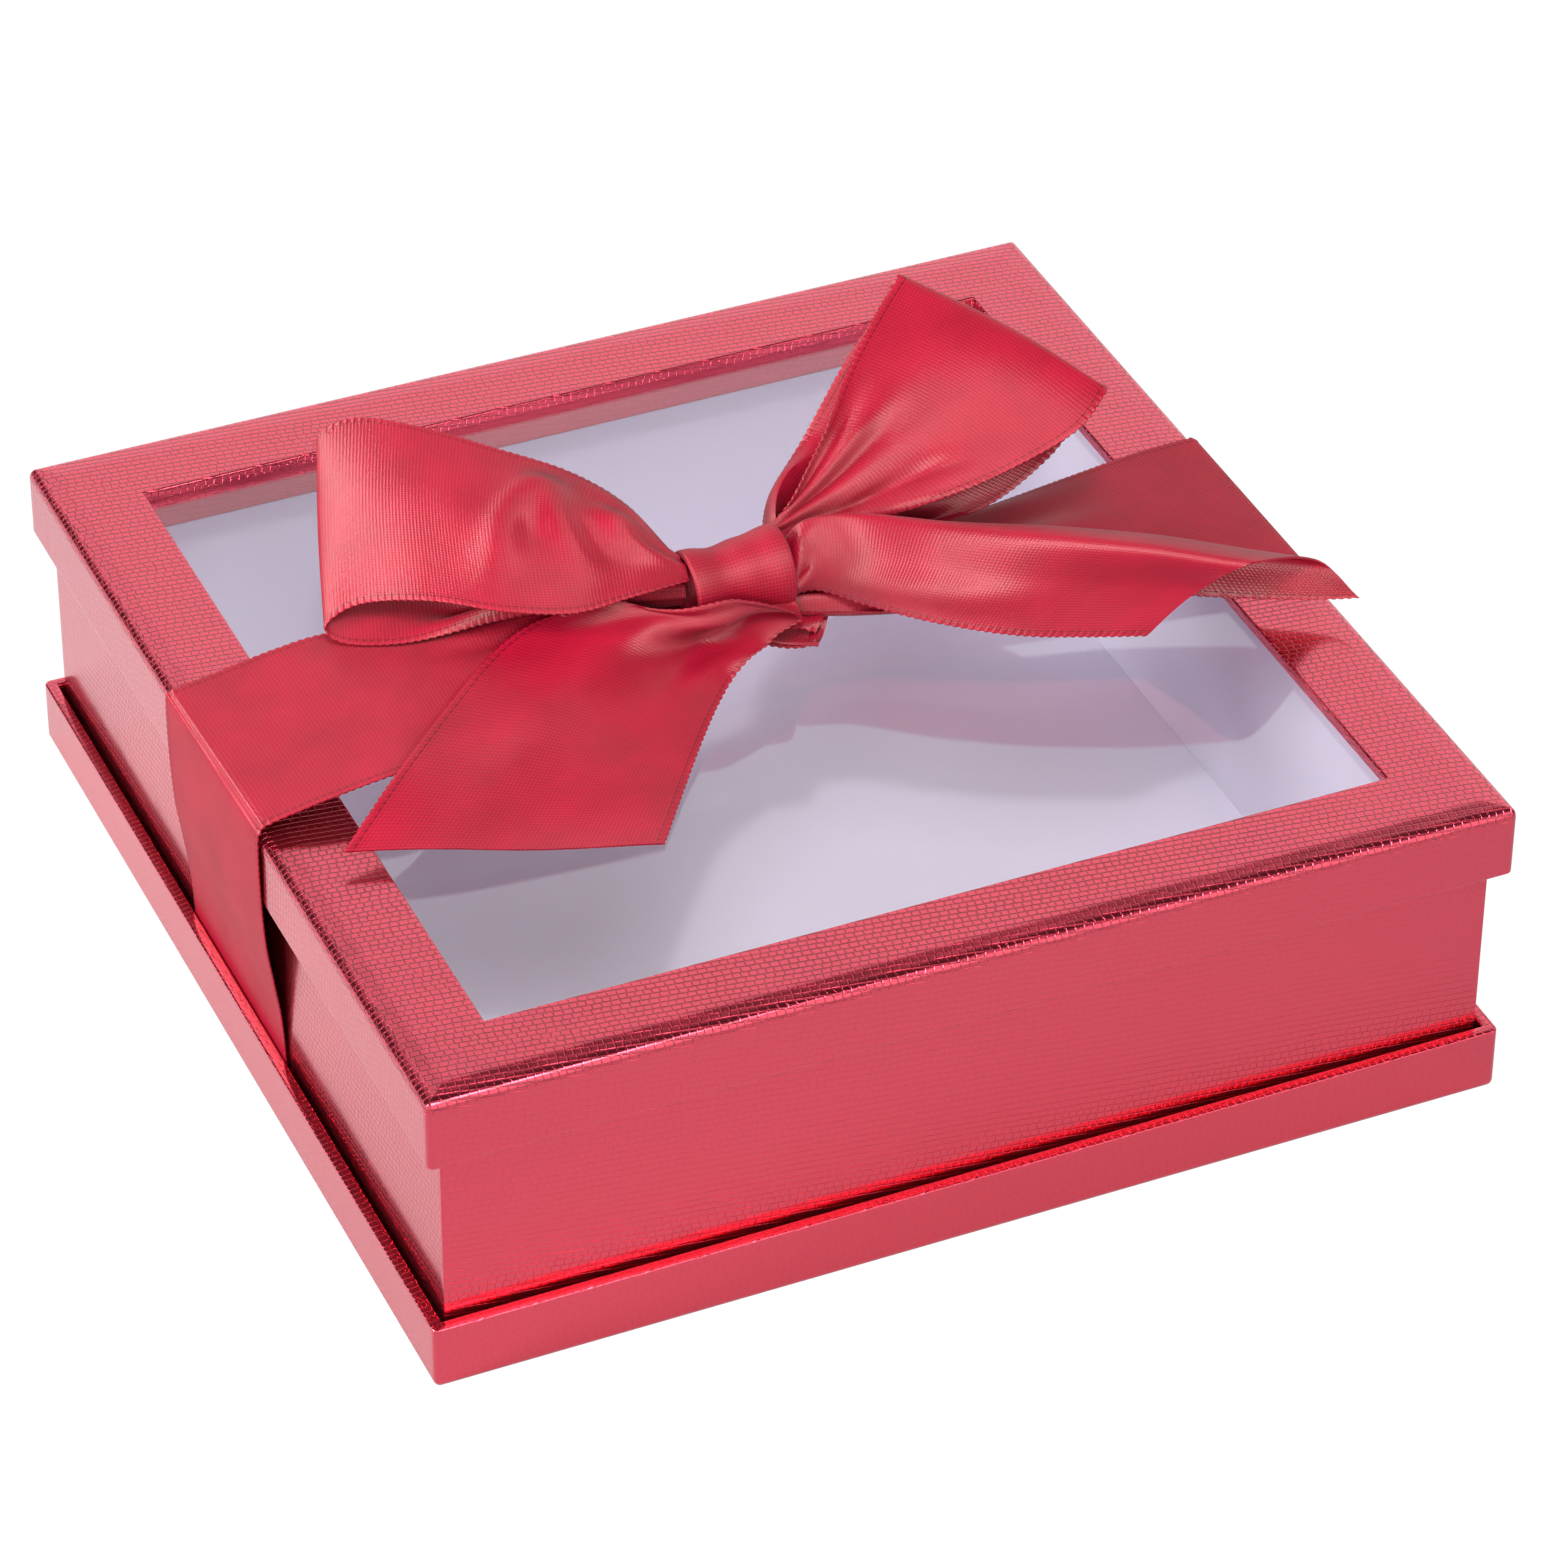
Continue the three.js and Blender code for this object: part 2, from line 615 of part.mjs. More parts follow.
const cakeBox = new THREE.Group();

function add(name, geometry, finish) {
  const mesh = new THREE.Mesh(geometry, finish);
  mesh.name = name;
  cakeBox.add(mesh);
}

add('tray_wrap', trayWrapGeometry(), embossedPaper());
add('tray_board', trayBoardGeometry(), greyBoard());
add('neck_board', neckBoardGeometry(), greyBoard());
add('neck_wrap', neckWrapGeometry(), embossedPaper());
add('neck_lining', neckLiningGeometry(), liningPaper());
add('floor_lining', floorLiningGeometry(), liningPaper());
add('lid_board', lidBoardGeometry(), greyBoard());
add('lid_wrap', lidWrapGeometry(), embossedPaper());
add('window_film', windowFilmGeometry(), clearFilm());
add('lid_lining', lidLiningGeometry(), liningPaper());

const corners = [
  ['front_left', -1, -1],
  ['front_right', 1, -1],
  ['back_right', 1, 1],
  ['back_left', -1, 1],
];
const stayedBoards = [
  ['tray', boardOuter, foldRadius + stayMargin, trayBoardTop - stayMargin],
  ['neck', neckBoardOuter, neckFoot + stayMargin, neckTop - stayMargin],
  ['lid', boardOuter, lidRim + stayMargin, boxHeight - foldRadius - stayMargin],
];
for (const [board, inset, bottom, top] of stayedBoards) {
  for (const [corner, signX, signY] of corners) {
    add(`${board}_stay_${corner}`, stayGeometry(inset, bottom, top, signX, signY), stayPaper());
  }
}

add('ribbon_run_left', ribbonRunGeometry(-1, leftGather), satin());
add('ribbon_run_right', ribbonRunGeometry(1, rightGather), satin());
add('bow_knot', knotGeometry(), satin());
add('bow_crossing', crossingGeometry(), satin());
add('bow_loop_left', ribbonStrip(onLid(leftLoop), loopSteps), satin());
add('bow_loop_right', ribbonStrip(onLid(rightLoop), loopSteps), satin());
add('bow_tail_left', ribbonStrip(onLid(leftTail), leftTailSteps, leftTailCut), satin());
add('bow_tail_right', ribbonStrip(onLid(rightTail), rightTailSteps, rightTailCut), satin());

export default cakeBox;
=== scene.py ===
"""A square cake box in red embossed paper, with a window lid and a satin ribbon tied in a bow."""
import logging
import math
from dataclasses import dataclass, field
from enum import Enum

import bpy
import numpy as np
from mathutils import Matrix, Vector


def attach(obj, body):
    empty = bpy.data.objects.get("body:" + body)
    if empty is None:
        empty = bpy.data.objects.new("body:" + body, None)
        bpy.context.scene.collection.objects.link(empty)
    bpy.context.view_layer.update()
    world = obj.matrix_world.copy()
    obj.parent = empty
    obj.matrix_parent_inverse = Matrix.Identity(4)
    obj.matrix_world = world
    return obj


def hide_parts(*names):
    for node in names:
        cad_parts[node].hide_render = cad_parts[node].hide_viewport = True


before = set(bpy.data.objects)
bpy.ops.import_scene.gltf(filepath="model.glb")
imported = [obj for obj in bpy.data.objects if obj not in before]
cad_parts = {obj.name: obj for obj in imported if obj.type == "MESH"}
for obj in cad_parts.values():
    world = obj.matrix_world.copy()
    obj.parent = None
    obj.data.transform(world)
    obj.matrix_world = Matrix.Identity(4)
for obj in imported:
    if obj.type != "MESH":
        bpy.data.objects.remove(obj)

logging.basicConfig(level=logging.INFO, format="%(message)s")
log = logging.getLogger("cake_box")

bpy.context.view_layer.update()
MM = 0.001
TAU = 2 * math.pi
SHARPEST_BEND = math.radians(50)

Color = tuple[float, float, float]
Point = tuple[float, float, float]
Pair = tuple[float, float]
Profile = list[Pair]
Stations = list[list[list[float]]]
Gather = list[tuple[float, Pair, Pair, Pair]]
Socket = bpy.types.NodeSocket


class Body(Enum):
    """The bodies that the pieces ride on."""

    BASE = "base"
    LID = "lid"


class Slot(Enum):
    """The record's material slots for the new pieces; nothing in the script reads them."""

    EMBOSSED = "embossed_paper"
    SATIN = "satin"


# Surfaces


def smooth_through(values: np.ndarray, places: np.ndarray) -> np.ndarray:
    """Carry values along a smooth curve: each stretch between two stations is the cubic whose slope
    at a station is half the step between its neighbours.

    Args:
        values: stations along the first axis.
        places: where to read them, counted in stations.

    Returns:
        One row for each place, shaped as a station is.
    """
    last = len(values) - 1
    padded = np.concatenate([[2 * values[0] - values[1]], values, [2 * values[-1] - values[-2]]])
    index = np.clip(np.floor(places).astype(int), 0, last - 1)
    t = (places - index).reshape((-1,) + (1,) * (values.ndim - 1))
    before, start, end, after = (padded[index + k] for k in range(4))
    return 0.5 * (
        2 * start
        + (end - before) * t
        + (2 * before - 5 * start + 4 * end - after) * t**2
        + (3 * start - before - 3 * end + after) * t**3
    )


def smoothstep(low: float, high: float, x: np.ndarray) -> np.ndarray:
    """Rise from 0 at low to 1 at high with level ends: 3 t^2 - 2 t^3. Low may be the larger."""
    t = np.clip((x - low) / (high - low), 0, 1)
    return t * t * (3 - 2 * t)


def grid_normals(points: np.ndarray) -> np.ndarray:
    """Unit normals of a grid of points: the cross product of its steps along and across.

    Args:
        points: rows x columns x 3.

    Returns:
        Normals of the same shape.
    """
    along = np.gradient(points, axis=0)
    across = np.gradient(points, axis=1)
    normal = np.cross(along, across)
    return normal / np.maximum(np.linalg.norm(normal, axis=-1, keepdims=True), 1e-12)


def grid_quads(rows: int, columns: int, wrap_rows: bool = False, wrap_columns: bool = False) -> np.ndarray:
    """Quads of a grid whose points are numbered row by row.

    Args:
        rows: number of rows.
        columns: number of columns.
        wrap_rows: True if the last row joins the first again.
        wrap_columns: True if the last column joins the first again.

    Returns:
        F x 4 point numbers.
    """
    i = np.arange(rows if wrap_rows else rows - 1)[:, None]
    j = np.arange(columns if wrap_columns else columns - 1)[None, :]
    i2 = (i + 1) % rows
    j2 = (j + 1) % columns
    corners = [i * columns + j, i * columns + j2, i2 * columns + j2, i2 * columns + j]
    return np.stack(corners, axis=-1).reshape(-1, 4)


def new_piece(name: str, points: np.ndarray, quads: np.ndarray, uv: np.ndarray) -> bpy.types.Object:
    """Make a smooth mesh object at the origin.

    Args:
        name: the piece's name.
        points: N x 3 in millimetres.
        quads: F x 4 point numbers.
        uv: F x 4 x 2, the pattern's place at each corner of each face, in millimetres.

    Returns:
        The object, linked into the scene.
    """
    solid = points[quads]
    centre = points.mean(axis=0)
    a, b, c, d = (solid[:, k] - centre for k in range(4))
    volume = np.einsum("ij,ij->i", a, np.cross(b, c)).sum() + np.einsum("ij,ij->i", a, np.cross(c, d)).sum()
    if volume < 0:
        quads, uv = quads[:, ::-1], uv[:, ::-1]
    mesh = bpy.data.meshes.new(name)
    mesh.vertices.add(len(points))
    mesh.vertices.foreach_set("co", (points * MM).astype(np.float32).ravel())
    mesh.loops.add(quads.size)
    mesh.loops.foreach_set("vertex_index", np.ascontiguousarray(quads, dtype=np.int32).ravel())
    mesh.polygons.add(len(quads))
    mesh.polygons.foreach_set("loop_start", np.arange(0, quads.size, 4, dtype=np.int32))
    mesh.polygons.foreach_set("use_smooth", np.ones(len(quads), dtype=bool))
    layer = mesh.uv_layers.new(name="pattern")
    layer.data.foreach_set("uv", np.ascontiguousarray(uv, dtype=np.float32).ravel())
    mesh.update(calc_edges=True)
    mesh.validate()
    mesh.set_sharp_from_angle(angle=SHARPEST_BEND)
    piece = bpy.data.objects.new(name, mesh)
    bpy.context.scene.collection.objects.link(piece)
    return piece


# Finishes


class Wiring:
    """Adds nodes to a node tree and joins them."""

    def __init__(self, tree: bpy.types.NodeTree) -> None:
        """Start from an empty tree."""
        self.tree = tree
        self.tree.nodes.clear()

    def node(self, kind: str, inputs: dict | None = None, **settings: object) -> bpy.types.Node:
        """Add a node.

        Args:
            kind: the node's type without its ShaderNode prefix.
            inputs: socket name or number to a value, or to another node's socket.
            settings: the node's own properties.

        Returns:
            The node.
        """
        made = self.tree.nodes.new("ShaderNode" + kind)
        for key, value in settings.items():
            setattr(made, key, value)
        for key, value in (inputs or {}).items():
            if isinstance(value, bpy.types.NodeSocket):
                self.tree.links.new(value, made.inputs[key])
            else:
                made.inputs[key].default_value = value
        return made

    def math(self, operation: str, a: object, b: object = 0.0, clamp: bool = False) -> Socket:
        """One step of arithmetic on numbers or sockets."""
        return self.node("Math", {0: a, 1: b}, operation=operation, use_clamp=clamp).outputs[0]

    def times(self, a: object, b: object) -> Socket:
        """A product."""
        return self.math("MULTIPLY", a, b)

    def plus(self, a: object, b: object, clamp: bool = False) -> Socket:
        """A sum."""
        return self.math("ADD", a, b, clamp)

    def minus(self, a: object, b: object) -> Socket:
        """A difference."""
        return self.math("SUBTRACT", a, b)

    def unsigned(self, a: object) -> Socket:
        """A number without its sign."""
        return self.math("ABSOLUTE", a)

    def mix(self, factor: object, a: object, b: object) -> Socket:
        """Blend two colours, each an RGBA tuple or a socket."""
        return self.node("Mix", {0: factor, 6: a, 7: b}, data_type="RGBA").outputs[2]

    def noise(self, vector: Socket, scale: float, detail: float = 2.0) -> Socket:
        """Soft noise from 0 to 1."""
        return self.node("TexNoise", {"Vector": vector, "Scale": scale, "Detail": detail}).outputs["Fac"]

    def rise(self, value: Socket, low: float, high: float) -> Socket:
        """0 at low, 1 at high, level at both ends; low may be the larger."""
        limits = {"Value": value, "From Min": low, "From Max": high}
        return self.node("MapRange", limits, interpolation_type="SMOOTHSTEP").outputs[0]

    def axes(self, vector: Socket) -> tuple[Socket, Socket, Socket]:
        """The x, y and z of a vector."""
        return tuple(self.node("SeparateXYZ", {0: vector}).outputs)

    def vector_math(self, operation: str, inputs: dict) -> Socket:
        """One step of arithmetic on vectors."""
        return self.node("VectorMath", inputs, operation=operation).outputs[0]

    def mapped(self, vector: Socket, **inputs: object) -> Socket:
        """Coordinates turned or scaled."""
        return self.node("Mapping", {"Vector": vector, **inputs}).outputs[0]

    def bump(
        self, height: Socket, distance: float, strength: float = 1.0, under: Socket | None = None
    ) -> Socket:
        """A normal that follows a height, laid over another normal where one is given."""
        inputs = {"Strength": strength, "Distance": distance, "Height": height}
        return self.node("Bump", inputs | ({} if under is None else {"Normal": under})).outputs[0]

    def close(self, kind: str, shader: Socket) -> None:
        """Join the shader to an output node of the given kind."""
        self.tree.links.new(shader, self.node(kind).inputs["Surface"])


class Recipe(Wiring):
    """Builds one material."""

    def __init__(self, name: str) -> None:
        """Start an empty material.

        Args:
            name: the material's name.
        """
        self.material = bpy.data.materials.new(name)
        self.material.use_nodes = True
        super().__init__(self.material.node_tree)

    def pattern(self) -> Socket:
        """The piece's own pattern coordinates, in millimetres."""
        return self.node("UVMap", uv_map="pattern").outputs["UV"]

    def place(self) -> Socket:
        """Object coordinates, in metres."""
        return self.node("TexCoord").outputs["Object"]

    def surface(self, shader: Socket) -> bpy.types.Material:
        """Join the shader to the output; gives the finished material."""
        self.close("OutputMaterial", shader)
        return self.material

    def principled(self, inputs: dict) -> bpy.types.Material:
        """Finish with one principled shader; gives the finished material."""
        return self.surface(self.node("BsdfPrincipled", inputs).outputs[0])


def rgba(color: Color, factor: float = 1.0) -> tuple[float, float, float, float]:
    """A linear colour with full alpha, brightened or darkened by a factor."""
    return (color[0] * factor, color[1] * factor, color[2] * factor, 1.0)


@dataclass(frozen=True)
class EmbossedPaper:
    """Metallic red paper under a clear lacquer, embossed with small cells in rows.

    The cells' sizes are in millimetres on the flat sheet, and each pair of wander is a noise's scale and
    how far it pushes the rows about. The bands are places on the box, in metres, between which the
    pattern changes: the lid's soft edge, the lid's top and the side walls.
    """

    color: Color = (0.9, 0.075, 0.13)
    # The groove colour and its share paint the shade that falls in the grooves.
    groove_shade_color: Color = (0.42, 0.018, 0.045)
    groove_shade_share: float = 0.42
    row: float = 1.08
    cell: float = 1.35
    groove: float = 0.15
    skew: float = math.radians(7.5)
    wander: tuple[Pair, ...] = ((0.16, 0.6), (0.9, 0.14))
    depth: float = 0.05 * MM
    side_share: float = 0.6
    edge_share: float = 3.5
    grain_share: float = 0.025
    wave_depth: float = 0.2 * MM
    half: float = 82.5 * MM
    flap: float = 8.0 * MM
    flap_step: float = 0.1 * MM
    edge_band: tuple[Pair, Pair] = ((48.4 * MM, 49.0 * MM), (50.36 * MM, 50.2 * MM))
    top_band: Pair = (49.8 * MM, 50.4 * MM)
    side_band: Pair = (82.0 * MM, 82.2 * MM)

    def grooves(self, r: Recipe, turned: Socket) -> Socket:
        """Grooves between cells, 1 in a groove and 0 on a cell.

        The cells are bricks in rows, on coordinates that a broad and a fine noise push about a little.

        Args:
            r: the material's recipe.
            turned: the pattern coordinates, turned to the rows.

        Returns:
            The grooves.
        """
        laid = turned
        drawn_out = r.mapped(turned, Scale=(0.4, 1, 1))
        for scale, reach in self.wander:
            noise = r.node("TexNoise", {"Vector": drawn_out, "Scale": scale, "Detail": 1.0}).outputs["Color"]
            shift = r.vector_math("SUBTRACT", {0: noise, 1: (0.5, 0.5, 0.5)})
            laid = r.vector_math("ADD", {0: laid, 1: r.vector_math("SCALE", {0: shift, "Scale": reach})})
        return r.node(
            "TexBrick",
            {
                "Vector": laid, "Scale": 1.0, "Mortar Size": self.groove, "Mortar Smooth": 0.85,
                "Brick Width": self.cell, "Row Height": self.row,
            },
            offset=0.3, offset_frequency=2, squash=0.85, squash_frequency=3,
        ).outputs["Fac"]

    def seams(self, r: Recipe, x: Socket, y: Socket) -> Socket:
        """Where the sheet's end flaps lie on the side walls, 1 on a flap and 0 beside it.

        Args:
            r: the material's recipe.
            x: the place along X, in metres.
            y: the place along Y, in metres.

        Returns:
            The flaps.
        """
        start = self.half - self.flap
        covered = r.rise(r.unsigned(y), start, start + self.flap_step)
        return r.times(covered, r.rise(r.unsigned(x), *self.side_band))

    def build(self) -> bpy.types.Material:
        """Grooves as bump, deepest on the lid's soft edge, and as painted shade in the colour, with grain,
        waves and seams.

        Returns:
            The material.
        """
        r = Recipe("embossed_red_paper")
        turned = r.mapped(r.pattern(), Rotation=(0, 0, self.skew))
        grooves = self.grooves(r, turned)
        x, y, z = r.axes(r.place())
        on_edge = r.times(*(r.rise(z, *band) for band in self.edge_band))
        share = r.plus(r.times(r.rise(z, *self.top_band), 1 - self.side_share), self.side_share)
        deeper = r.times(grooves, r.plus(r.times(on_edge, self.edge_share), share))
        grain = r.noise(turned, 6.0, 3.0)
        fine = r.bump(r.minus(r.times(grain, self.grain_share), deeper), self.depth)
        broad = r.bump(r.noise(r.pattern(), 0.07, 2.0), self.wave_depth, under=fine)
        # Painted shade: the grooves' colour is darkened as if shade fell in them, less on the side walls than
        # on the lid's top.
        tone = r.times(grooves, r.times(r.times(share, share), self.groove_shade_share))
        return r.principled({
            "Base Color": r.mix(tone, rgba(self.color), rgba(self.groove_shade_color)),
            "Metallic": 0.96,
            "Roughness": r.plus(r.times(grain, 0.08), 0.14),
            "Normal": r.bump(self.seams(r, x, y), self.flap_step, under=broad),
            "Coat Weight": 0.8,
            "Coat Roughness": 0.12,
            "Coat IOR": 1.5,
        })


@dataclass(frozen=True)
class Satin:
    """Red satin: a fine twill of long floats, glossy across the threads, with a ribbed selvedge.

    Pitches, the ribbon's width, the selvedge and its stitches are in millimetres on the flat ribbon.
    """

    name: str = "red_satin"
    color: Color = (0.34, 0.005, 0.025)
    deep: Color = (0.19, 0.003, 0.012)
    rough: float = 0.36
    stretch: float = 0.92
    gloss: float = 0.55
    weave_share: float = 0.55
    cloud_share: float = 0.9
    pitch_across: float = 0.5
    pitch_along: float = 0.56
    depth: float = 0.018 * MM
    width: float = 38.0
    selvedge: float = 0.9
    seam_reach: Pair = (0.28, 0.05)
    stitch: float = 1.15

    def build(self) -> bpy.types.Material:
        """Two crossed waves make staggered floats; slow noise varies the tone.

        Returns:
            The material.
        """
        r = Recipe(self.name)
        pattern = r.pattern()
        across, along, _ = r.axes(pattern)
        turn_across = r.times(across, math.pi / self.pitch_across)
        turn_along = r.times(along, math.pi / self.pitch_along)
        first = r.math("SINE", r.plus(turn_across, turn_along))
        second = r.math("SINE", r.minus(turn_across, turn_along))
        weave = r.times(first, second)
        thread = r.noise(r.mapped(pattern, Scale=(3.0, 0.3, 1)), 2.0, 2.0)
        cloud = r.noise(pattern, 0.12, 2.0)
        lit = r.plus(r.times(weave, self.weave_share), r.times(cloud, self.cloud_share), clamp=True)
        cloth = r.mix(lit, rgba(self.deep), rgba(self.color, 1.06))
        from_edge = r.math("MINIMUM", across, r.minus(self.width, across))
        seam = r.rise(r.unsigned(r.minus(from_edge, self.selvedge)), *self.seam_reach)
        stitches = r.plus(r.times(r.math("SINE", r.times(along, TAU / self.stitch)), 0.3), 0.4)
        return r.principled({
            "Base Color": r.mix(r.times(seam, stitches), cloth, rgba(self.deep, 0.3)),
            "Metallic": 0.0,
            "Roughness": r.plus(r.times(thread, 0.06), self.rough),
            "Normal": r.bump(r.plus(weave, thread), self.depth, 0.6),
            "Anisotropic": self.stretch,
            "Tangent": r.node("Tangent", direction_type="UV_MAP", uv_map="pattern").outputs[0],
            "Specular IOR Level": self.gloss,
            "Specular Tint": (1.0, 0.76, 0.72, 1.0),
            "Sheen Weight": 0.02,
            "Sheen Roughness": 0.35,
            "Sheen Tint": (1.0, 0.35, 0.34, 1.0),
        })


@dataclass(frozen=True)
class ClearFilm:
    """Clear film that mirrors a little, more at a low angle."""

    tint: Color = (0.993, 0.99, 0.997)
    straight: float = 0.06

    def build(self) -> bpy.types.Material:
        """See-through, with a mirror layer and faint waves.

        The mirror's share is its share seen straight on, plus the rest times the fifth power of the slant.

        Returns:
            The material.
        """
        r = Recipe("clear_film")
        mirror = {
            "Base Color": (1, 1, 1, 1), "Metallic": 1.0, "Roughness": 0.03,
            "Normal": r.bump(r.noise(r.place(), 18.0, 1.0), 0.2 * MM, 0.3),
        }
        gloss = r.node("BsdfPrincipled", mirror).outputs[0]
        clear = r.node("BsdfTransparent", {"Color": rgba(self.tint)}).outputs[0]
        slant = r.math("POWER", r.node("LayerWeight", {"Blend": 0.5}).outputs["Facing"], 5.0)
        share = r.plus(r.times(slant, 1 - self.straight), self.straight)
        return r.surface(r.node("MixShader", {0: share, 1: clear, 2: gloss}).outputs[0])


@dataclass(frozen=True)
class PlainPaper:
    """Matt paper or board with fibres and a slightly clouded tone."""

    name: str
    color: Color
    dark: Color
    rough: float = 0.75
    fibre: float = 900.0
    depth: float = 0.03 * MM

    def build(self) -> bpy.types.Material:
        """Fine fibre noise as bump, broad noise as tone.

        Returns:
            The material.
        """
        r = Recipe(self.name)
        fibre = r.noise(r.place(), self.fibre, 4.0)
        cloud = r.noise(r.place(), 28.0, 3.0)
        tone = r.plus(r.times(cloud, 0.6), r.times(fibre, 0.4), clamp=True)
        return r.principled({
            "Base Color": r.mix(tone, rgba(self.dark), rgba(self.color)),
            "Roughness": self.rough,
            "Normal": r.bump(fibre, self.depth, 0.5),
            "Specular IOR Level": 0.3,
        })


LILAC_LINING = PlainPaper("lilac_lining", (0.87, 0.84, 0.96), (0.83, 0.8, 0.93))
GREY_BOARD = PlainPaper("grey_board", (0.44, 0.4, 0.34), (0.3, 0.27, 0.23), 0.9, 500.0, 0.08 * MM)
GUMMED_PAPER = PlainPaper("gummed_paper", (0.6, 0.47, 0.29), (0.5, 0.38, 0.22), 0.7, 700.0)
TIGHT_SATIN = Satin("tight_red_satin", rough=0.5, stretch=0.4, gloss=0.4)


@dataclass
class Wardrobe:
    """Every finish of the object, built once."""

    embossed: bpy.types.Material = field(default_factory=EmbossedPaper().build)
    satin: bpy.types.Material = field(default_factory=Satin().build)
    tight_satin: bpy.types.Material = field(default_factory=TIGHT_SATIN.build)
    film: bpy.types.Material = field(default_factory=ClearFilm().build)
    lining: bpy.types.Material = field(default_factory=LILAC_LINING.build)
    board: bpy.types.Material = field(default_factory=GREY_BOARD.build)
    stay: bpy.types.Material = field(default_factory=GUMMED_PAPER.build)


def dress(node: str, material: bpy.types.Material) -> None:
    """Give a CAD node its finish."""
    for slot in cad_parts[node].material_slots:
        slot.material = material


# The wrapped box


@dataclass
class BoxSizes:
    """Sizes of the box in millimetres, the same as the CAD model's."""

    width: float = 165.0
    depth: float = 165.0
    height: float = 50.5
    tray_height: float = 10.5
    lid_height: float = 11.5
    frame_width: float = 13.8
    board: float = 1.1
    paper: float = 0.2
    film: float = 0.2
    stay: float = 0.15
    glue: float = 0.05
    fold: float = 1.2
    top_fold: float = 5.2
    top_drop: float = 1.7
    rim: float = 0.3
    beside: float = 0.4
    corner: float = 1.0
    tight: float = 0.15
    window_turn: float = 8.8
    neck_turn: float = 18.0
    crevice: float = 0.8

    def __post_init__(self) -> None:
        """Work out the layers and levels."""
        self.board_outer = self.paper + self.stay + 2 * self.glue
        self.turn_outer = self.board_outer + self.board + self.glue
        self.wall = self.turn_outer + self.paper
        self.neck_inset = self.wall + self.crevice
        self.neck_turn_outer = self.neck_inset + self.board_outer + self.board + self.glue
        self.neck_turn_inner = self.neck_turn_outer + self.paper
        self.floor = self.paper + self.glue + self.board
        self.neck_foot = self.floor + self.glue
        self.lid_board_bottom = self.height - self.paper - self.glue - self.board
        self.window_turn_top = self.lid_board_bottom - self.glue
        self.window_turn_bottom = self.window_turn_top - self.paper
        self.film_top = self.window_turn_bottom - self.glue
        self.film_bottom = self.film_top - self.film
        self.lid_lining_bottom = self.film_bottom - self.glue - self.paper
        self.lid_rim = self.height - self.lid_height
        self.neck_top = self.lid_lining_bottom - self.glue
        self.window_turn_inset = self.frame_width - self.window_turn


def arc(inset: float, z: float, radius: float, start: float, end: float, steps: int = 8) -> Profile:
    """Profile points on an arc about (inset, z), from one angle in degrees to another.

    Args:
        inset: the middle's distance in from the outer face.
        z: the middle's height.
        radius: the arc's radius.
        start: first angle.
        end: last angle.
        steps: number of steps.

    Returns:
        The points.
    """
    angles = np.radians(np.linspace(start, end, steps + 1))
    return list(zip(inset + radius * np.cos(angles), z + radius * np.sin(angles)))


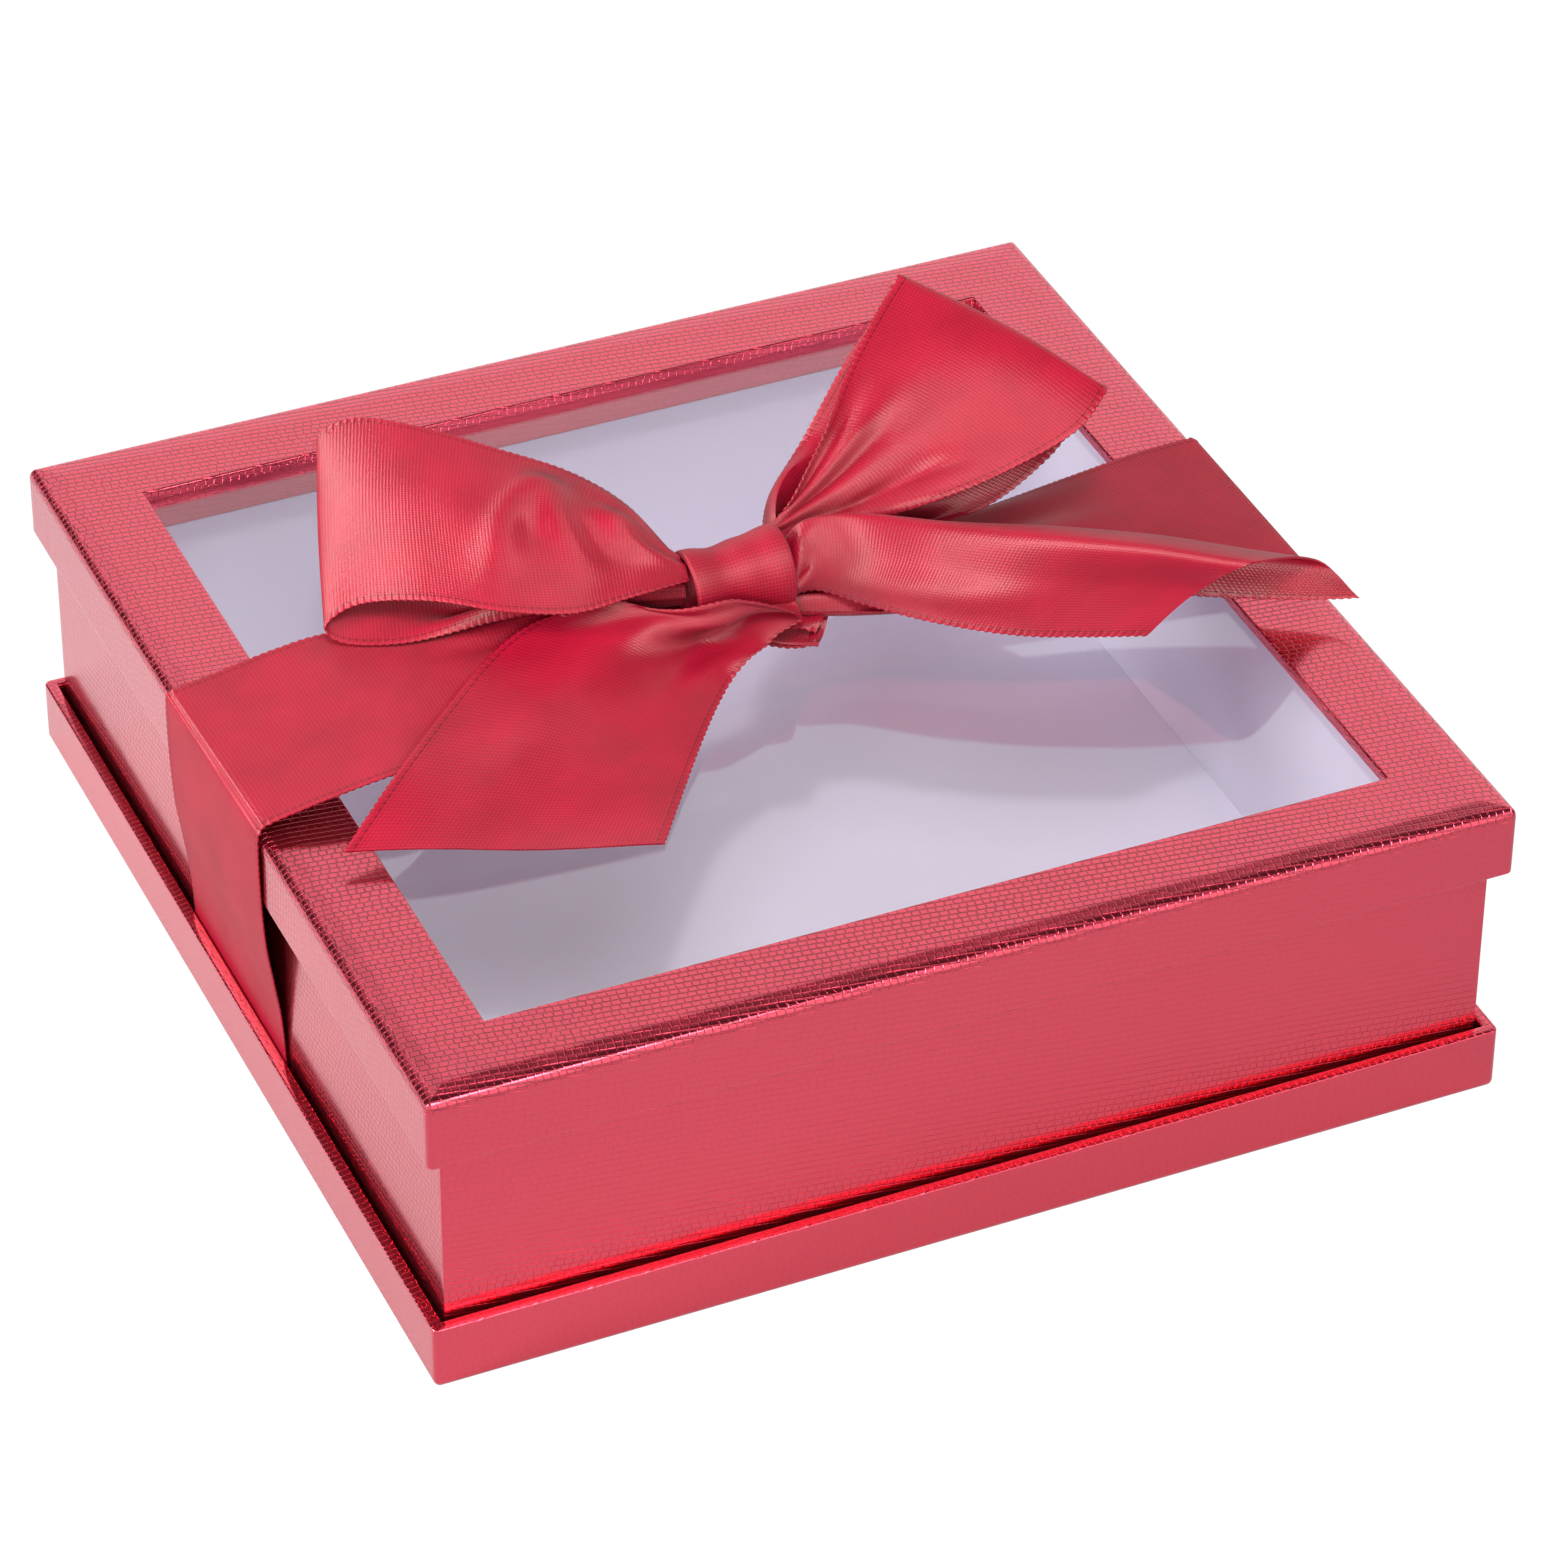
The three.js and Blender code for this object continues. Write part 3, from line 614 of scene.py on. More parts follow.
@dataclass
class PaperWrap:
    """A sheet of covering paper folded round the box: a closed profile carried round four sides.

    The profile's points are (inset from the outer face, height). The pattern's place on each point is
    the one that it had on the flat sheet: its plan place at the fold, plus the way along the profile.
    """

    sizes: BoxSizes
    corner_steps: int = 6
    side_steps: int = 12
    corner_gap: float = 0.006

    def ring(self, inset: np.ndarray) -> tuple[np.ndarray, np.ndarray, np.ndarray, np.ndarray]:
        """One closed ring for each inset: a rectangle with rounded corners and even side points.

        Args:
            inset: distances in from the outer face.

        Returns:
            Plan x, plan y, the way round each corner, and for each column whether its face is a side wall's.
        """
        s = self.sizes
        radius = np.maximum(s.corner - inset, s.tight)[:, None]
        half_x = (s.width / 2 - inset)[:, None] - radius
        half_y = (s.depth / 2 - inset)[:, None] - radius
        x, y, turned, side = [], [], [], []
        even = np.arange(1, self.side_steps) / self.side_steps
        inner = np.r_[self.corner_gap, even, 1 - self.corner_gap]
        signs = [(1, 1), (-1, 1), (-1, -1), (1, -1)]
        for number, (sx, sy) in enumerate(signs):
            angle = (number + np.arange(self.corner_steps + 1) / self.corner_steps) * math.pi / 2
            x.append(sx * half_x + radius * np.cos(angle))
            y.append(sy * half_y + radius * np.sin(angle))
            from_front = np.arccos(np.clip(np.abs(np.sin(angle)), 0, 1))
            turned.append(sx * radius * from_front)
            nx, ny = signs[(number + 1) % 4]
            along_x = number % 2 == 0
            out_x, out_y = (0, radius) if along_x else (radius, 0)
            start_x, start_y = sx * (half_x + out_x), sy * (half_y + out_y)
            x.append(start_x + (nx * (half_x + out_x) - start_x) * inner)
            y.append(start_y + (ny * (half_y + out_y) - start_y) * inner)
            turned.append(np.zeros((len(inset), len(inner))))
            side += [False] * self.corner_steps + [not along_x] * (len(inner) + 1)
        return np.hstack(x), np.hstack(y), np.hstack(turned), np.array(side)

    def build(
        self, name: str, profile: Profile, fold_at: int, capped: bool, band: bool = False
    ) -> bpy.types.Object:
        """Carry the profile round the box.

        Args:
            name: the piece's name.
            profile: closed, or open from axis to axis where the sheet covers the middle.
            fold_at: the profile point where the flat panel ends and the wall's fold begins.
            capped: True if the sheet covers the middle of the box.
            band: True for a strip whose rows run round the box.

        Returns:
            The piece.
        """
        s = self.sizes
        line = np.array(profile)
        step = np.linalg.norm(np.diff(line, axis=0), axis=1)
        way = np.r_[0, np.cumsum(step)]
        way = way - way[fold_at]
        x, y, turned, side = self.ring(line[:, 0])
        rows, columns = x.shape
        z = np.repeat(line[:, 1][:, None], columns, axis=1)
        points = np.stack([x, y, z], axis=-1).reshape(-1, 3)
        quads = grid_quads(rows, columns, wrap_rows=not capped, wrap_columns=True)
        flat_x = s.width / 2 - line[fold_at, 0]
        flat_y = s.depth / 2 - line[fold_at, 0]
        out = way[:, None] * np.ones(columns)
        if band:
            front = np.stack([x + turned, z], axis=-1)
            flank = np.stack([y, z], axis=-1)
        else:
            front = np.stack([x + turned, np.sign(y) * (flat_y + out)], axis=-1)
            flank = np.stack([np.sign(x) * (flat_x + out), y], axis=-1)
        of_side = side[quads[:, 0] % columns]
        front, flank = front.reshape(-1, 2), flank.reshape(-1, 2)
        uv = np.where(of_side[:, None, None], flank[quads], front[quads])
        if capped:
            points, quads, uv = self.close_middle(points, quads, uv, rows, columns)
        return new_piece(name, points, quads, uv)

    def close_middle(
        self, points: np.ndarray, quads: np.ndarray, uv: np.ndarray, rows: int, columns: int
    ) -> tuple[np.ndarray, np.ndarray, np.ndarray]:
        """Close the first and last ring with a flat fan of quads round a middle point.

        Args:
            points: the rings' points, ring by ring.
            quads: the quads between them.
            uv: the pattern's places.
            rows: number of rings.
            columns: number of points in a ring.

        Returns:
            Points, quads and pattern places with the two fans added.
        """
        for first, turned in ((0, True), ((rows - 1) * columns, False)):
            middle = len(points)
            points = np.vstack([points, [[0, 0, points[first, 2]]]])
            a, b, c = (first + (np.arange(0, columns, 2) + k) % columns for k in range(3))
            m = np.full(len(a), middle)
            fan = np.stack([a, m, c, b] if turned else [a, b, c, m], axis=-1)
            quads = np.vstack([quads, fan])
            uv = np.concatenate([uv, points[fan][:, :, :2]])
        return points, quads, uv


@dataclass
class Tray:
    """The shallow tray that the box stands on."""

    sizes: BoxSizes
    finishes: Wardrobe

    def build(self) -> None:
        """Wrap the tray and dress what is inside the paper."""
        s = self.sizes
        inner = s.fold - s.paper
        top = s.tray_height
        profile = [
            *arc(s.fold, s.fold, s.fold, 270, 180),
            (0, s.fold + s.beside), (0, top - s.rim - s.beside),
            *arc(s.rim, top - s.rim, s.rim, 180, 90, 4),
            *arc(s.wall - s.rim, top - s.rim, s.rim, 90, 0, 4),
            (s.wall, top - s.rim - s.beside),
            (s.wall, s.neck_foot), (s.turn_outer, s.neck_foot),
            (s.turn_outer, top - s.paper), (s.paper, top - s.paper),
            *arc(s.fold, s.fold, inner, 180, 270),
        ]
        profile = [(s.fold + s.beside, 0), *profile, (s.fold + s.beside, s.paper)]
        cover = PaperWrap(s).build("tray_cover", profile, 1, capped=True)
        settle(cover, Body.BASE, self.finishes.embossed, "tray_wrap")
        dress("tray_board", self.finishes.board)


@dataclass
class Neck:
    """The frame that stands in the tray and carries the lid, with its linings."""

    sizes: BoxSizes
    finishes: Wardrobe

    def build(self) -> None:
        """Wrap the neck's board and dress the linings."""
        s = self.sizes
        outer = s.neck_inset + s.paper
        turn_end = s.neck_top - s.neck_turn
        profile = [
            (s.neck_inset, s.neck_foot), (s.neck_inset, s.neck_top - s.rim - s.beside),
            *arc(s.neck_inset + s.rim, s.neck_top - s.rim, s.rim, 180, 90, 4),
            *arc(s.neck_turn_inner - s.rim, s.neck_top - s.rim, s.rim, 90, 0, 4),
            (s.neck_turn_inner, s.neck_top - s.rim - s.beside),
            (s.neck_turn_inner, turn_end), (s.neck_turn_outer, turn_end),
            (s.neck_turn_outer, s.neck_top - s.paper), (outer, s.neck_top - s.paper),
            (outer, s.neck_foot),
        ]
        cover = PaperWrap(s).build("neck_cover", profile, 0, capped=False, band=True)
        settle(cover, Body.BASE, self.finishes.embossed, "neck_wrap")
        dress("neck_board", self.finishes.board)
        dress("neck_lining", self.finishes.lining)
        dress("floor_lining", self.finishes.lining)


@dataclass
class Lid:
    """The lid: a wrapped frame round a clear window.

    Its soft edge is given as distances in from the outer face and down from the top.
    """

    sizes: BoxSizes
    finishes: Wardrobe
    soft_edge: tuple[Pair, ...] = (
        (4.4, 0), (3.8, 0.012), (3.3, 0.045), (2.3, 0.125),
        (1.2, 0.215), (0.67, 0.4), (0.3, 0.76), (0.08, 1.2),
    )
    edge_steps: int = 24

    def build(self) -> None:
        """Wrap the lid's frame and dress the window and its lining."""
        s = self.sizes
        edge = s.frame_width - s.paper
        turn_end = s.lid_lining_bottom - s.glue
        corners = np.array([*self.soft_edge, (0, s.top_drop)])
        slope = smooth_through(corners, np.linspace(0, len(corners) - 1, self.edge_steps + 1)).tolist()
        rim = s.lid_rim
        profile = [
            (s.window_turn_inset, s.window_turn_top), (s.window_turn_inset, s.window_turn_bottom),
            (s.frame_width, s.window_turn_bottom),
            *arc(s.frame_width - s.rim, s.height - s.rim, s.rim, 0, 90, 4),
            (s.frame_width - s.rim - s.beside, s.height), (s.top_fold, s.height),
            *((inset, s.height - drop) for inset, drop in slope),
            (0, s.height - s.top_drop - s.beside), (0, rim + s.rim + s.beside),
            *arc(s.rim, rim + s.rim, s.rim, 180, 270, 4),
            *arc(s.wall - s.rim, rim + s.rim, s.rim, 270, 360, 4),
            (s.wall, turn_end), (s.turn_outer, turn_end),
            (s.turn_outer, rim + s.paper), (s.paper, rim + s.paper),
            *((inset + s.paper, s.height - drop - s.paper) for inset, drop in slope[::-2]),
            (edge, s.height - s.paper), (edge, s.window_turn_top),
        ]
        fold_at = profile.index((s.top_fold, s.height)) + 1
        cover = PaperWrap(s).build("lid_cover", profile, fold_at, capped=False)
        settle(cover, Body.LID, self.finishes.embossed, "lid_wrap")
        dress("lid_board", self.finishes.board)
        dress("window_film", self.finishes.film)
        dress("lid_lining", self.finishes.lining)


def settle(
    piece: bpy.types.Object, body: Body, material: bpy.types.Material, node: str
) -> None:
    """Give a new piece its finish and its body, and hide the CAD node that it stands for.

    Args:
        piece: the piece.
        body: the body that it rides on.
        material: its finish.
        node: name of the CAD node that it replaces.
    """
    piece.data.materials.append(material)
    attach(piece, body.value)
    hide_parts(node)
    log.info("%s: %d faces on %s", piece.name, len(piece.data.polygons), body.value)


# The ribbon


@dataclass(frozen=True)
class Fold:
    """A soft ridge or hollow pressed into a piece of ribbon.

    It is a bell carried along the path, and fades towards both ends: exp(-(distance / width)^2),
    summed over the path's steps and divided by width times the root of pi.
    """

    path: tuple[Pair, ...]
    width: float
    height: float
    fade: Pair = (0.15, 0.15)
    steps: int = 40

    def raise_on(self, across: np.ndarray, along: np.ndarray, size: Pair) -> np.ndarray:
        """Height in millimetres at each point of the ribbon.

        Args:
            across: place across the ribbon, 0 to 1.
            along: place along the ribbon, 0 to 1.
            size: the ribbon's width and length in millimetres.

        Returns:
            Heights, shaped as across is.
        """
        scale = np.array(size)
        way = np.linspace(0, 1, self.steps)
        line = smooth_through(np.array(self.path), way * (len(self.path) - 1)) * scale
        step = np.linalg.norm(np.gradient(line, axis=0), axis=1)
        ends = smoothstep(0, self.fade[0], way) * smoothstep(0, self.fade[1], 1 - way)
        point = np.stack([across, along], axis=-1) * scale
        total = np.zeros(across.shape)
        for middle, share in zip(line, ends * step):
            total += share * np.exp(-(((point - middle) / self.width) ** 2).sum(axis=-1))
        return self.height * total / (self.width * math.sqrt(math.pi))


@dataclass
class RibbonStrip:
    """A length of ribbon: a sheet through stations across its width, front selvedge first.

    Cut tells where the front and the back selvedge end, counted in stations. Pleats are their number,
    their phase and their greatest height. Uneven is the second wave's share of that height, and hidden
    is the share that a loop's upper layer gives to its lower one.
    """

    name: str
    node: str
    stations: Stations
    length: float
    held: str
    rests_on: tuple[str, ...]
    cut: Pair | None = None
    folds: tuple[Fold, ...] = ()
    pleats: tuple[float, float, float] = (3.0, 0.0, 1.6)
    uneven: float = 0.35
    hidden: float = 0.0
    rows: int = 420
    columns: int = 44
    width: float = 38.0
    thick: float = 0.3
    picot_pitch: float = 1.15
    picot_reach: float = 0.22
    selvedge: float = 0.8

    def sheet(self) -> tuple[np.ndarray, np.ndarray]:
        """The middle surface: stations joined by smooth curves along and across, then folds along its normal.

        Returns:
            Points, and their places across the ribbon, from 0 to 1.
        """
        table = np.array(self.stations, dtype=float)
        last = len(table) - 1
        ends = self.cut or (last, last)
        edge = self.selvedge / self.width
        inner = np.linspace(edge, 1 - edge, self.columns - 4)
        across = np.r_[0, edge / 2, inner, 1 - edge / 2, 1]
        along = np.linspace(0, 1, self.rows)
        table = np.moveaxis(smooth_through(np.moveaxis(table, 1, 0), across * (table.shape[1] - 1)), 0, 1)
        reach = ends[0] + (ends[1] - ends[0]) * across
        lines = [smooth_through(table[:, j], along * reach[j]) for j in range(len(across))]
        points = np.stack(lines, axis=1)
        s, t = np.meshgrid(across, along)
        points = points + grid_normals(points) * self.gather(points, s, t)[..., None]
        lift = sum((f.raise_on(s, t, (self.width, self.length)) for f in self.folds), np.zeros_like(s))
        return points + grid_normals(points) * lift[..., None], s

    def gather(self, points: np.ndarray, across: np.ndarray, along: np.ndarray) -> np.ndarray:
        """Height of the pleats: waves across the ribbon, as high as its spare width needs at each row.

        A wave of height a and n turns over a width w is longer than w by a share of (pi n a / w) squared.
        A second wave with one turn more makes the pleats uneven. In a loop, a share of the height is
        moved from the upper layer to the lower one.

        Args:
            points: the middle surface.
            across: place across the ribbon, 0 to 1.
            along: place along the ribbon, 0 to 1.

        Returns:
            Heights, shaped as across is.
        """
        count, phase, most = self.pleats
        wide = np.linalg.norm(np.diff(points, axis=1), axis=-1).sum(axis=1)
        spare = np.clip(self.width / wide - 1, 0, None)
        height = wide / (math.pi * count) * np.sqrt(spare)
        height = most * np.tanh(height / most) * smoothstep(0.1, 0.9, spare)
        wave = np.sin(TAU * count * across + phase)
        wave = wave + self.uneven * np.sin(TAU * (count + 1) * across + 2 * phase + 1)
        return height[:, None] * wave * (1 + self.hidden * (2 * smoothstep(0.35, 0.65, along) - 1))

    def build(self, material: bpy.types.Material) -> bpy.types.Object:
        """Thicken the sheet, bead its selvedges and lay it down.

        A bead is half of 1 minus the cosine of the way along. It pushes the last line of points out, and
        makes the selvedge thicker on both sides. The two sides meet at half a thickness on that line.

        Args:
            material: the strip's finish.

        Returns:
            The piece.
        """
        points, s = self.sheet()
        normal = grid_normals(points)
        way = np.zeros(s.shape)
        way[1:] = np.cumsum(np.linalg.norm(np.diff(points, axis=0), axis=-1), axis=0)
        bead = 0.5 - 0.5 * np.cos(way * TAU / self.picot_pitch)
        near_edge = np.minimum(s, 1 - s) * self.width
        outward = np.gradient(points, axis=1)
        outward = outward / np.linalg.norm(outward, axis=-1, keepdims=True)
        last_line = near_edge < 1e-6
        reach = last_line * np.where(s < 0.5, -1, 1) * bead**0.7 * self.picot_reach
        points = points + outward * reach[..., None]
        band = smoothstep(self.selvedge, 0.25 * self.selvedge, near_edge)
        half = self.thick / 2 * (1 + band * (0.7 * bead - 0.1))
        half = np.where(last_line, 0.5 * half, half)
        upper = points + normal * half[..., None]
        lower = points - normal * half[..., None]
        rows, columns = s.shape
        middle_way = way[:, columns // 2][:, None] * np.ones(columns)
        log.info("%s: %.1f mm long, %.1f on average", self.name, middle_way[-1, 0], way[-1].mean())
        flat = np.stack([s * self.width, middle_way], axis=-1)
        sides = np.concatenate([upper, lower[:, ::-1]], axis=1)
        flats = np.concatenate([flat, flat[:, ::-1]], axis=1)
        quads = grid_quads(rows, 2 * columns, wrap_columns=True)
        j = np.arange(columns - 1)
        cap = np.stack([j, j + 1, 2 * columns - 2 - j, 2 * columns - 1 - j], axis=-1)
        quads = np.vstack([quads, cap[:, ::-1], cap + (rows - 1) * 2 * columns])
        uv = flats.reshape(-1, 2)[quads]
        piece = new_piece(self.name, sides.reshape(-1, 3), quads, uv)
        settle(piece, Body.LID, material, self.node)
        flat = (self.width * MM, self.length * MM)
        return piece


@dataclass
class KnotBand:
    """The knot's band: ribbon with both edges turned under, wound once round an axis along X.

    Across the ribbon, the line goes from the hidden edge out along the inner layer, round a small
    fold, back over the outer layer, round the other fold and under again. The outer layer's radius
    is a function of the place along the axis and of the turn, and the inner layer lies under it.
    """

    left: float
    right: float
    axis_height: float
    width: float
    half_thick: float
    length: float = 37.0
    pattern_radius: float = 6.0
    turns: int = 150
    fold_radius: float = 0.4
    most_under: float = 0.47
    spans: tuple[int, ...] = (12, 8, 44, 8, 12)

    def __post_init__(self) -> None:
        """Work out where the outer layer starts and how far it reaches."""
        self.start = self.left + self.fold_radius
        self.reach = self.right - self.left - 2 * self.fold_radius

    def line(self) -> tuple[np.ndarray, np.ndarray, np.ndarray]:
        """The line across the ribbon: straight along each layer, a half circle at each fold.

        Returns:
            The way along the line, its place along the axis, and its depth under the outer layer.
        """
        fold, reach = self.fold_radius, self.reach
        fold_way = math.pi * fold
        under = min((self.width - reach - 2 * fold_way) / 2, reach * self.most_under)
        stops = np.cumsum([0, under, fold_way, reach, fold_way, under])
        pieces = [np.linspace(*stops[k:k + 2], steps + 1) for k, steps in enumerate(self.spans)]
        way = np.unique(np.concatenate(pieces))
        first = np.clip((way - stops[1]) / fold_way, 0, 1) * math.pi
        second = np.clip((way - stops[3]) / fold_way, 0, 1) * math.pi
        x = self.start + stops[1] - np.minimum(way, stops[1]) - fold * np.sin(first)
        x = x + np.clip(way - stops[2], 0, reach) + fold * np.sin(second) - np.maximum(way - stops[4], 0)
        depth = fold * (1 + np.cos(first)) + fold * (1 - np.cos(second))
        return way, x, depth

    def radius(self, place: np.ndarray, turn: np.ndarray) -> np.ndarray:
        """The outer layer's distance from the axis.

        It is wider at both ends and widest on the right, a little narrower across than up and down,
        and has two sets of low waves that fade at the ends: three round the knot, and two across it.

        Args:
            place: place along the axis, 0 to 1.
            turn: angle round the axis.

        Returns:
            Distances in millimetres, one row for each turn.
        """
        wide = 5.35 + 1.15 * smoothstep(0.3, 1.0, place) + 0.45 * smoothstep(0.3, 0.0, place)
        wide = wide * (1 - 0.04 * np.cos(turn) ** 2)
        inside = np.sin(math.pi * place)
        wide = wide + 0.14 * np.sin(3 * turn + 2.5 * place) * inside
        return wide + 0.13 * np.sin(TAU * 2.2 * place + 0.6 * np.sin(turn)) * inside

    def shell(self, x: np.ndarray, radius: np.ndarray, turn: np.ndarray, offset: float) -> np.ndarray:
        """The surface at a distance from the middle line, measured along the line's own normal.

        Args:
            x: the line's places along the axis.
            radius: its distances from the axis, one row for each turn.
            turn: angle round the axis.
            offset: the distance.

        Returns:
            Points, turns x places x 3.
        """
        step = np.stack([np.gradient(x) * np.ones_like(radius), np.gradient(radius, axis=1)], axis=-1)
        step = step / np.linalg.norm(step, axis=-1, keepdims=True)
        far = radius + offset * step[..., 0]
        along = x[None, :] - offset * step[..., 1]
        return np.stack([along, far * np.cos(turn), self.axis_height + far * np.sin(turn)], axis=-1)

    def build(self, material: bpy.types.Material) -> bpy.types.Object:
        """Wind the line round the axis, with its two sides half a thickness away from it.

        Args:
            material: the band's finish.

        Returns:
            The piece.
        """
        way, x, depth = self.line()
        place = np.clip((x - self.start) / self.reach, 0, 1)[None, :]
        turn = np.linspace(0, TAU, self.turns, endpoint=False)[:, None]
        radius = self.radius(place, turn) - depth[None, :]
        outer = self.shell(x, radius, turn, self.half_thick)
        inner = self.shell(x, radius, turn, -self.half_thick)
        rings = np.concatenate([outer, inner[:, ::-1]], axis=1)
        quads = grid_quads(self.turns, 2 * len(way), wrap_rows=True, wrap_columns=True)
        around = np.arange(self.turns + 1) * self.pattern_radius * TAU / self.turns
        row = np.repeat(np.arange(self.turns), 2 * len(way))[quads]
        row = np.where((row == 0) & (row.max(axis=1, keepdims=True) > 1), self.turns, row)
        across = np.tile(np.r_[way, way[::-1]], self.turns)[quads]
        piece = new_piece("knot_band", rings.reshape(-1, 3), quads, np.stack([across, around[row]], axis=-1))
        settle(piece, Body.LID, material, "bow_knot")
        return piece


@dataclass
class Bow:
    """The ribbon over the lid and the bow tied on it. Stations are in millimetres above the lid's top."""

    sizes: BoxSizes
    finishes: Wardrobe
    width: float = 38.0
    thick: float = 0.35
    clearance: float = 0.25
    tuck: float = 6.5
    mouth: float = 1.6
    rise: float = 1.9
    edge_lift: float = 1.8
    knot_left: float = -9.8
    knot_right: float = 5.2
    knot_height: float = 10.0
    knot_gap: float = 0.45
    knot_half_share: float = 0.43

    def on_lid(self, stations: Stations) -> Stations:
        """Lift stations onto the lid."""
        lift = self.sizes.height + self.thick / 2
        return [[[x, y, lift + z] for x, y, z in station] for station in stations]

    def run(self, side: int, gather: Gather) -> Stations:
        """Stations of the run on one side: out of the slot, up the wall, over the edge, in to the knot.

        Args:
            side: -1 on the left and 1 on the right.
            gather: share of the way out from the knot, then y and height of front, middle and back.

        Returns:
            The stations.
        """
        s = self.sizes
        half, offset = s.width / 2, self.clearance + self.thick / 2
        slot = half - s.neck_inset + s.crevice / 2
        proud, top = half + offset, s.height + offset
        way_up = np.array([0.25, 0.5, 0.75])
        leaning_z = s.tray_height + (s.lid_rim - s.tray_height) * way_up
        leaning = zip(slot + (proud - slot) * smoothstep(0, 1, way_up), leaning_z)
        over = arc(half - s.fold, s.height - s.fold, s.fold + offset, 0, 90, 2)
        upright = [(slot, s.tray_height - self.tuck), (slot, s.tray_height - self.mouth), *leaning]
        upright.append((proud, s.lid_rim + self.rise))
        lifts_from = len(upright) - 1
        upright += over
        stations = []
        front, back = -self.width / 2, self.width / 2
        for index, (x, z) in enumerate(upright):
            share = float(smoothstep(lifts_from, len(upright) - 1, np.array(index)))
            lift = self.edge_lift * share * (side < 0)
            across = ((front, z + lift), (0, z + lift / 2), (back, z))
            stations.append([[side * x, y, height] for y, height in across])
        inner = abs(self.knot_left if side < 0 else self.knot_right) + self.knot_gap
        for place, *across in gather:
            x = side * (inner + (proud - inner) * place)
            stations.append([[x, y, top + z] for y, z in across])
        return stations

    def strips(self) -> list[RibbonStrip]:
        """Every strip of the bow.

        Returns:
            The strips, not yet built.
        """
        left_root = self.knot_left - self.knot_gap
        right_root = self.knot_right + self.knot_gap
        film = self.sizes.film_top - self.sizes.height + self.clearance
        left_gather = [
            (0.9, (-19, 3.0), (0, 2.0), (19, 0.9)),
            (0.78, (-19, 4.4), (0, 3.8), (18.3, 3.0)),
            (0.68, (-18.9, 5.2), (0, 5.2), (17.3, 4.4)),
            (0.54, (-16.6, 4.4), (0, 6.0), (15, 5.2)),
            (0.36, (-12.4, 4.6), (0, 6.4), (11.5, 6.0)),
            (0.16, (-7.5, 5.6), (0, 6.2), (7, 6.0)),
            (0, (-4.2, 5.6), (0, 5.8), (4.2, 5.8)),
        ]
        right_gather = [
            (0.86, (-18, 0.5), (0, 0.9), (18, 0.5)),
            (0.7, (-15.6, 1.0), (0, 1.6), (15.6, 1.0)),
            (0.5, (-12.6, 1.7), (0, 2.4), (12.6, 1.7)),
            (0.3, (-9.6, 2.4), (0, 3.2), (9.6, 2.6)),
            (0.13, (-6.8, 3.4), (0, 4.2), (6.8, 3.6)),
            (0, (-4.4, 4.6), (0, 5.2), (4.4, 4.8)),
        ]
        left_loop = [
            [[left_root, -2.6, 13.4], [left_root, 0.8, 14.9], [left_root, 4.2, 13.4]],
            [[-20.0, -4.4, 14.4], [-17.5, 5.4, 19.4], [-14.0, 11.5, 18.6]],
            [[-29.3, -5.6, 15.0], [-25.5, 9.5, 20.6], [-19.5, 20.0, 20.6]],
            [[-38.5, -2.0, 15.5], [-34.1, 14.2, 20.6], [-27.5, 28.0, 21.8]],
            [[-46.7, 6.8, 14.0], [-41.4, 23.5, 18.8], [-34.9, 39.1, 20.7]],
            [[-54.5, 14.5, 10.6], [-48.7, 31.1, 15.6], [-41.8, 48.2, 18.6]],
            [[-59.7, 15.0, 7.6], [-53.9, 32.4, 11.9], [-47.4, 49.8, 15.9]],
            [[-57.5, 12.2, 6.0], [-52.5, 27.5, 10.2], [-46.5, 43.6, 13.8]],
            [[-50.0, 8.0, 6.7], [-45.5, 21.5, 9.2], [-40.0, 36.0, 11.6]],
            [[-38.5, 5.0, 8.4], [-35.5, 14.5, 8.8], [-31.0, 25.5, 10.0]],
            [[-26.0, 2.4, 9.2], [-24.0, 8.5, 9.0], [-21.5, 15.0, 9.4]],
            [[left_root, -1.2, 9.0], [left_root, 1.6, 9.0], [left_root, 4.2, 9.2]],
        ]
        right_loop = [
            [[right_root, 3.6, 12.0], [right_root, 4.4, 13.4], [right_root, 5.4, 12.6]],
            [[12.0, 4.0, 12.0], [10.8, 5.6, 14.6], [10.0, 7.2, 15.4]],
            [[20.5, 2.4, 12.4], [18.0, 7.0, 16.6], [14.2, 10.2, 18.6]],
            [[30.0, -0.7, 15.4], [25.5, 8.8, 19.6], [19.2, 14.2, 22.4]],
            [[41.0, -2.8, 19.4], [34.5, 10.6, 24.0], [26.0, 21.4, 26.4]],
            [[51.0, -3.2, 23.6], [44.0, 12.6, 28.2], [33.8, 28.4, 30.2]],
            [[57.2, 0.2, 26.6], [49.0, 15.8, 30.0], [38.6, 32.2, 32.2]],
            [[57.0, 1.8, 25.6], [49.2, 17.2, 28.6], [38.8, 33.6, 31.2]],
            [[54.0, 1.4, 22.6], [45.6, 16.0, 24.2], [35.4, 32.4, 27.2]],
            [[47.8, 0.6, 16.6], [38.6, 13.4, 18.6], [27.8, 28.6, 21.2]],
            [[38.0, 1.8, 10.0], [28.6, 11.8, 13.2], [19.2, 23.0, 14.6]],
            [[23.0, 4.6, 7.6], [17.0, 10.0, 9.8], [10.8, 16.4, 11.2]],
            [[right_root, 3.2, 7.2], [right_root, 5.2, 8.4], [right_root, 7.2, 10.0]],
        ]
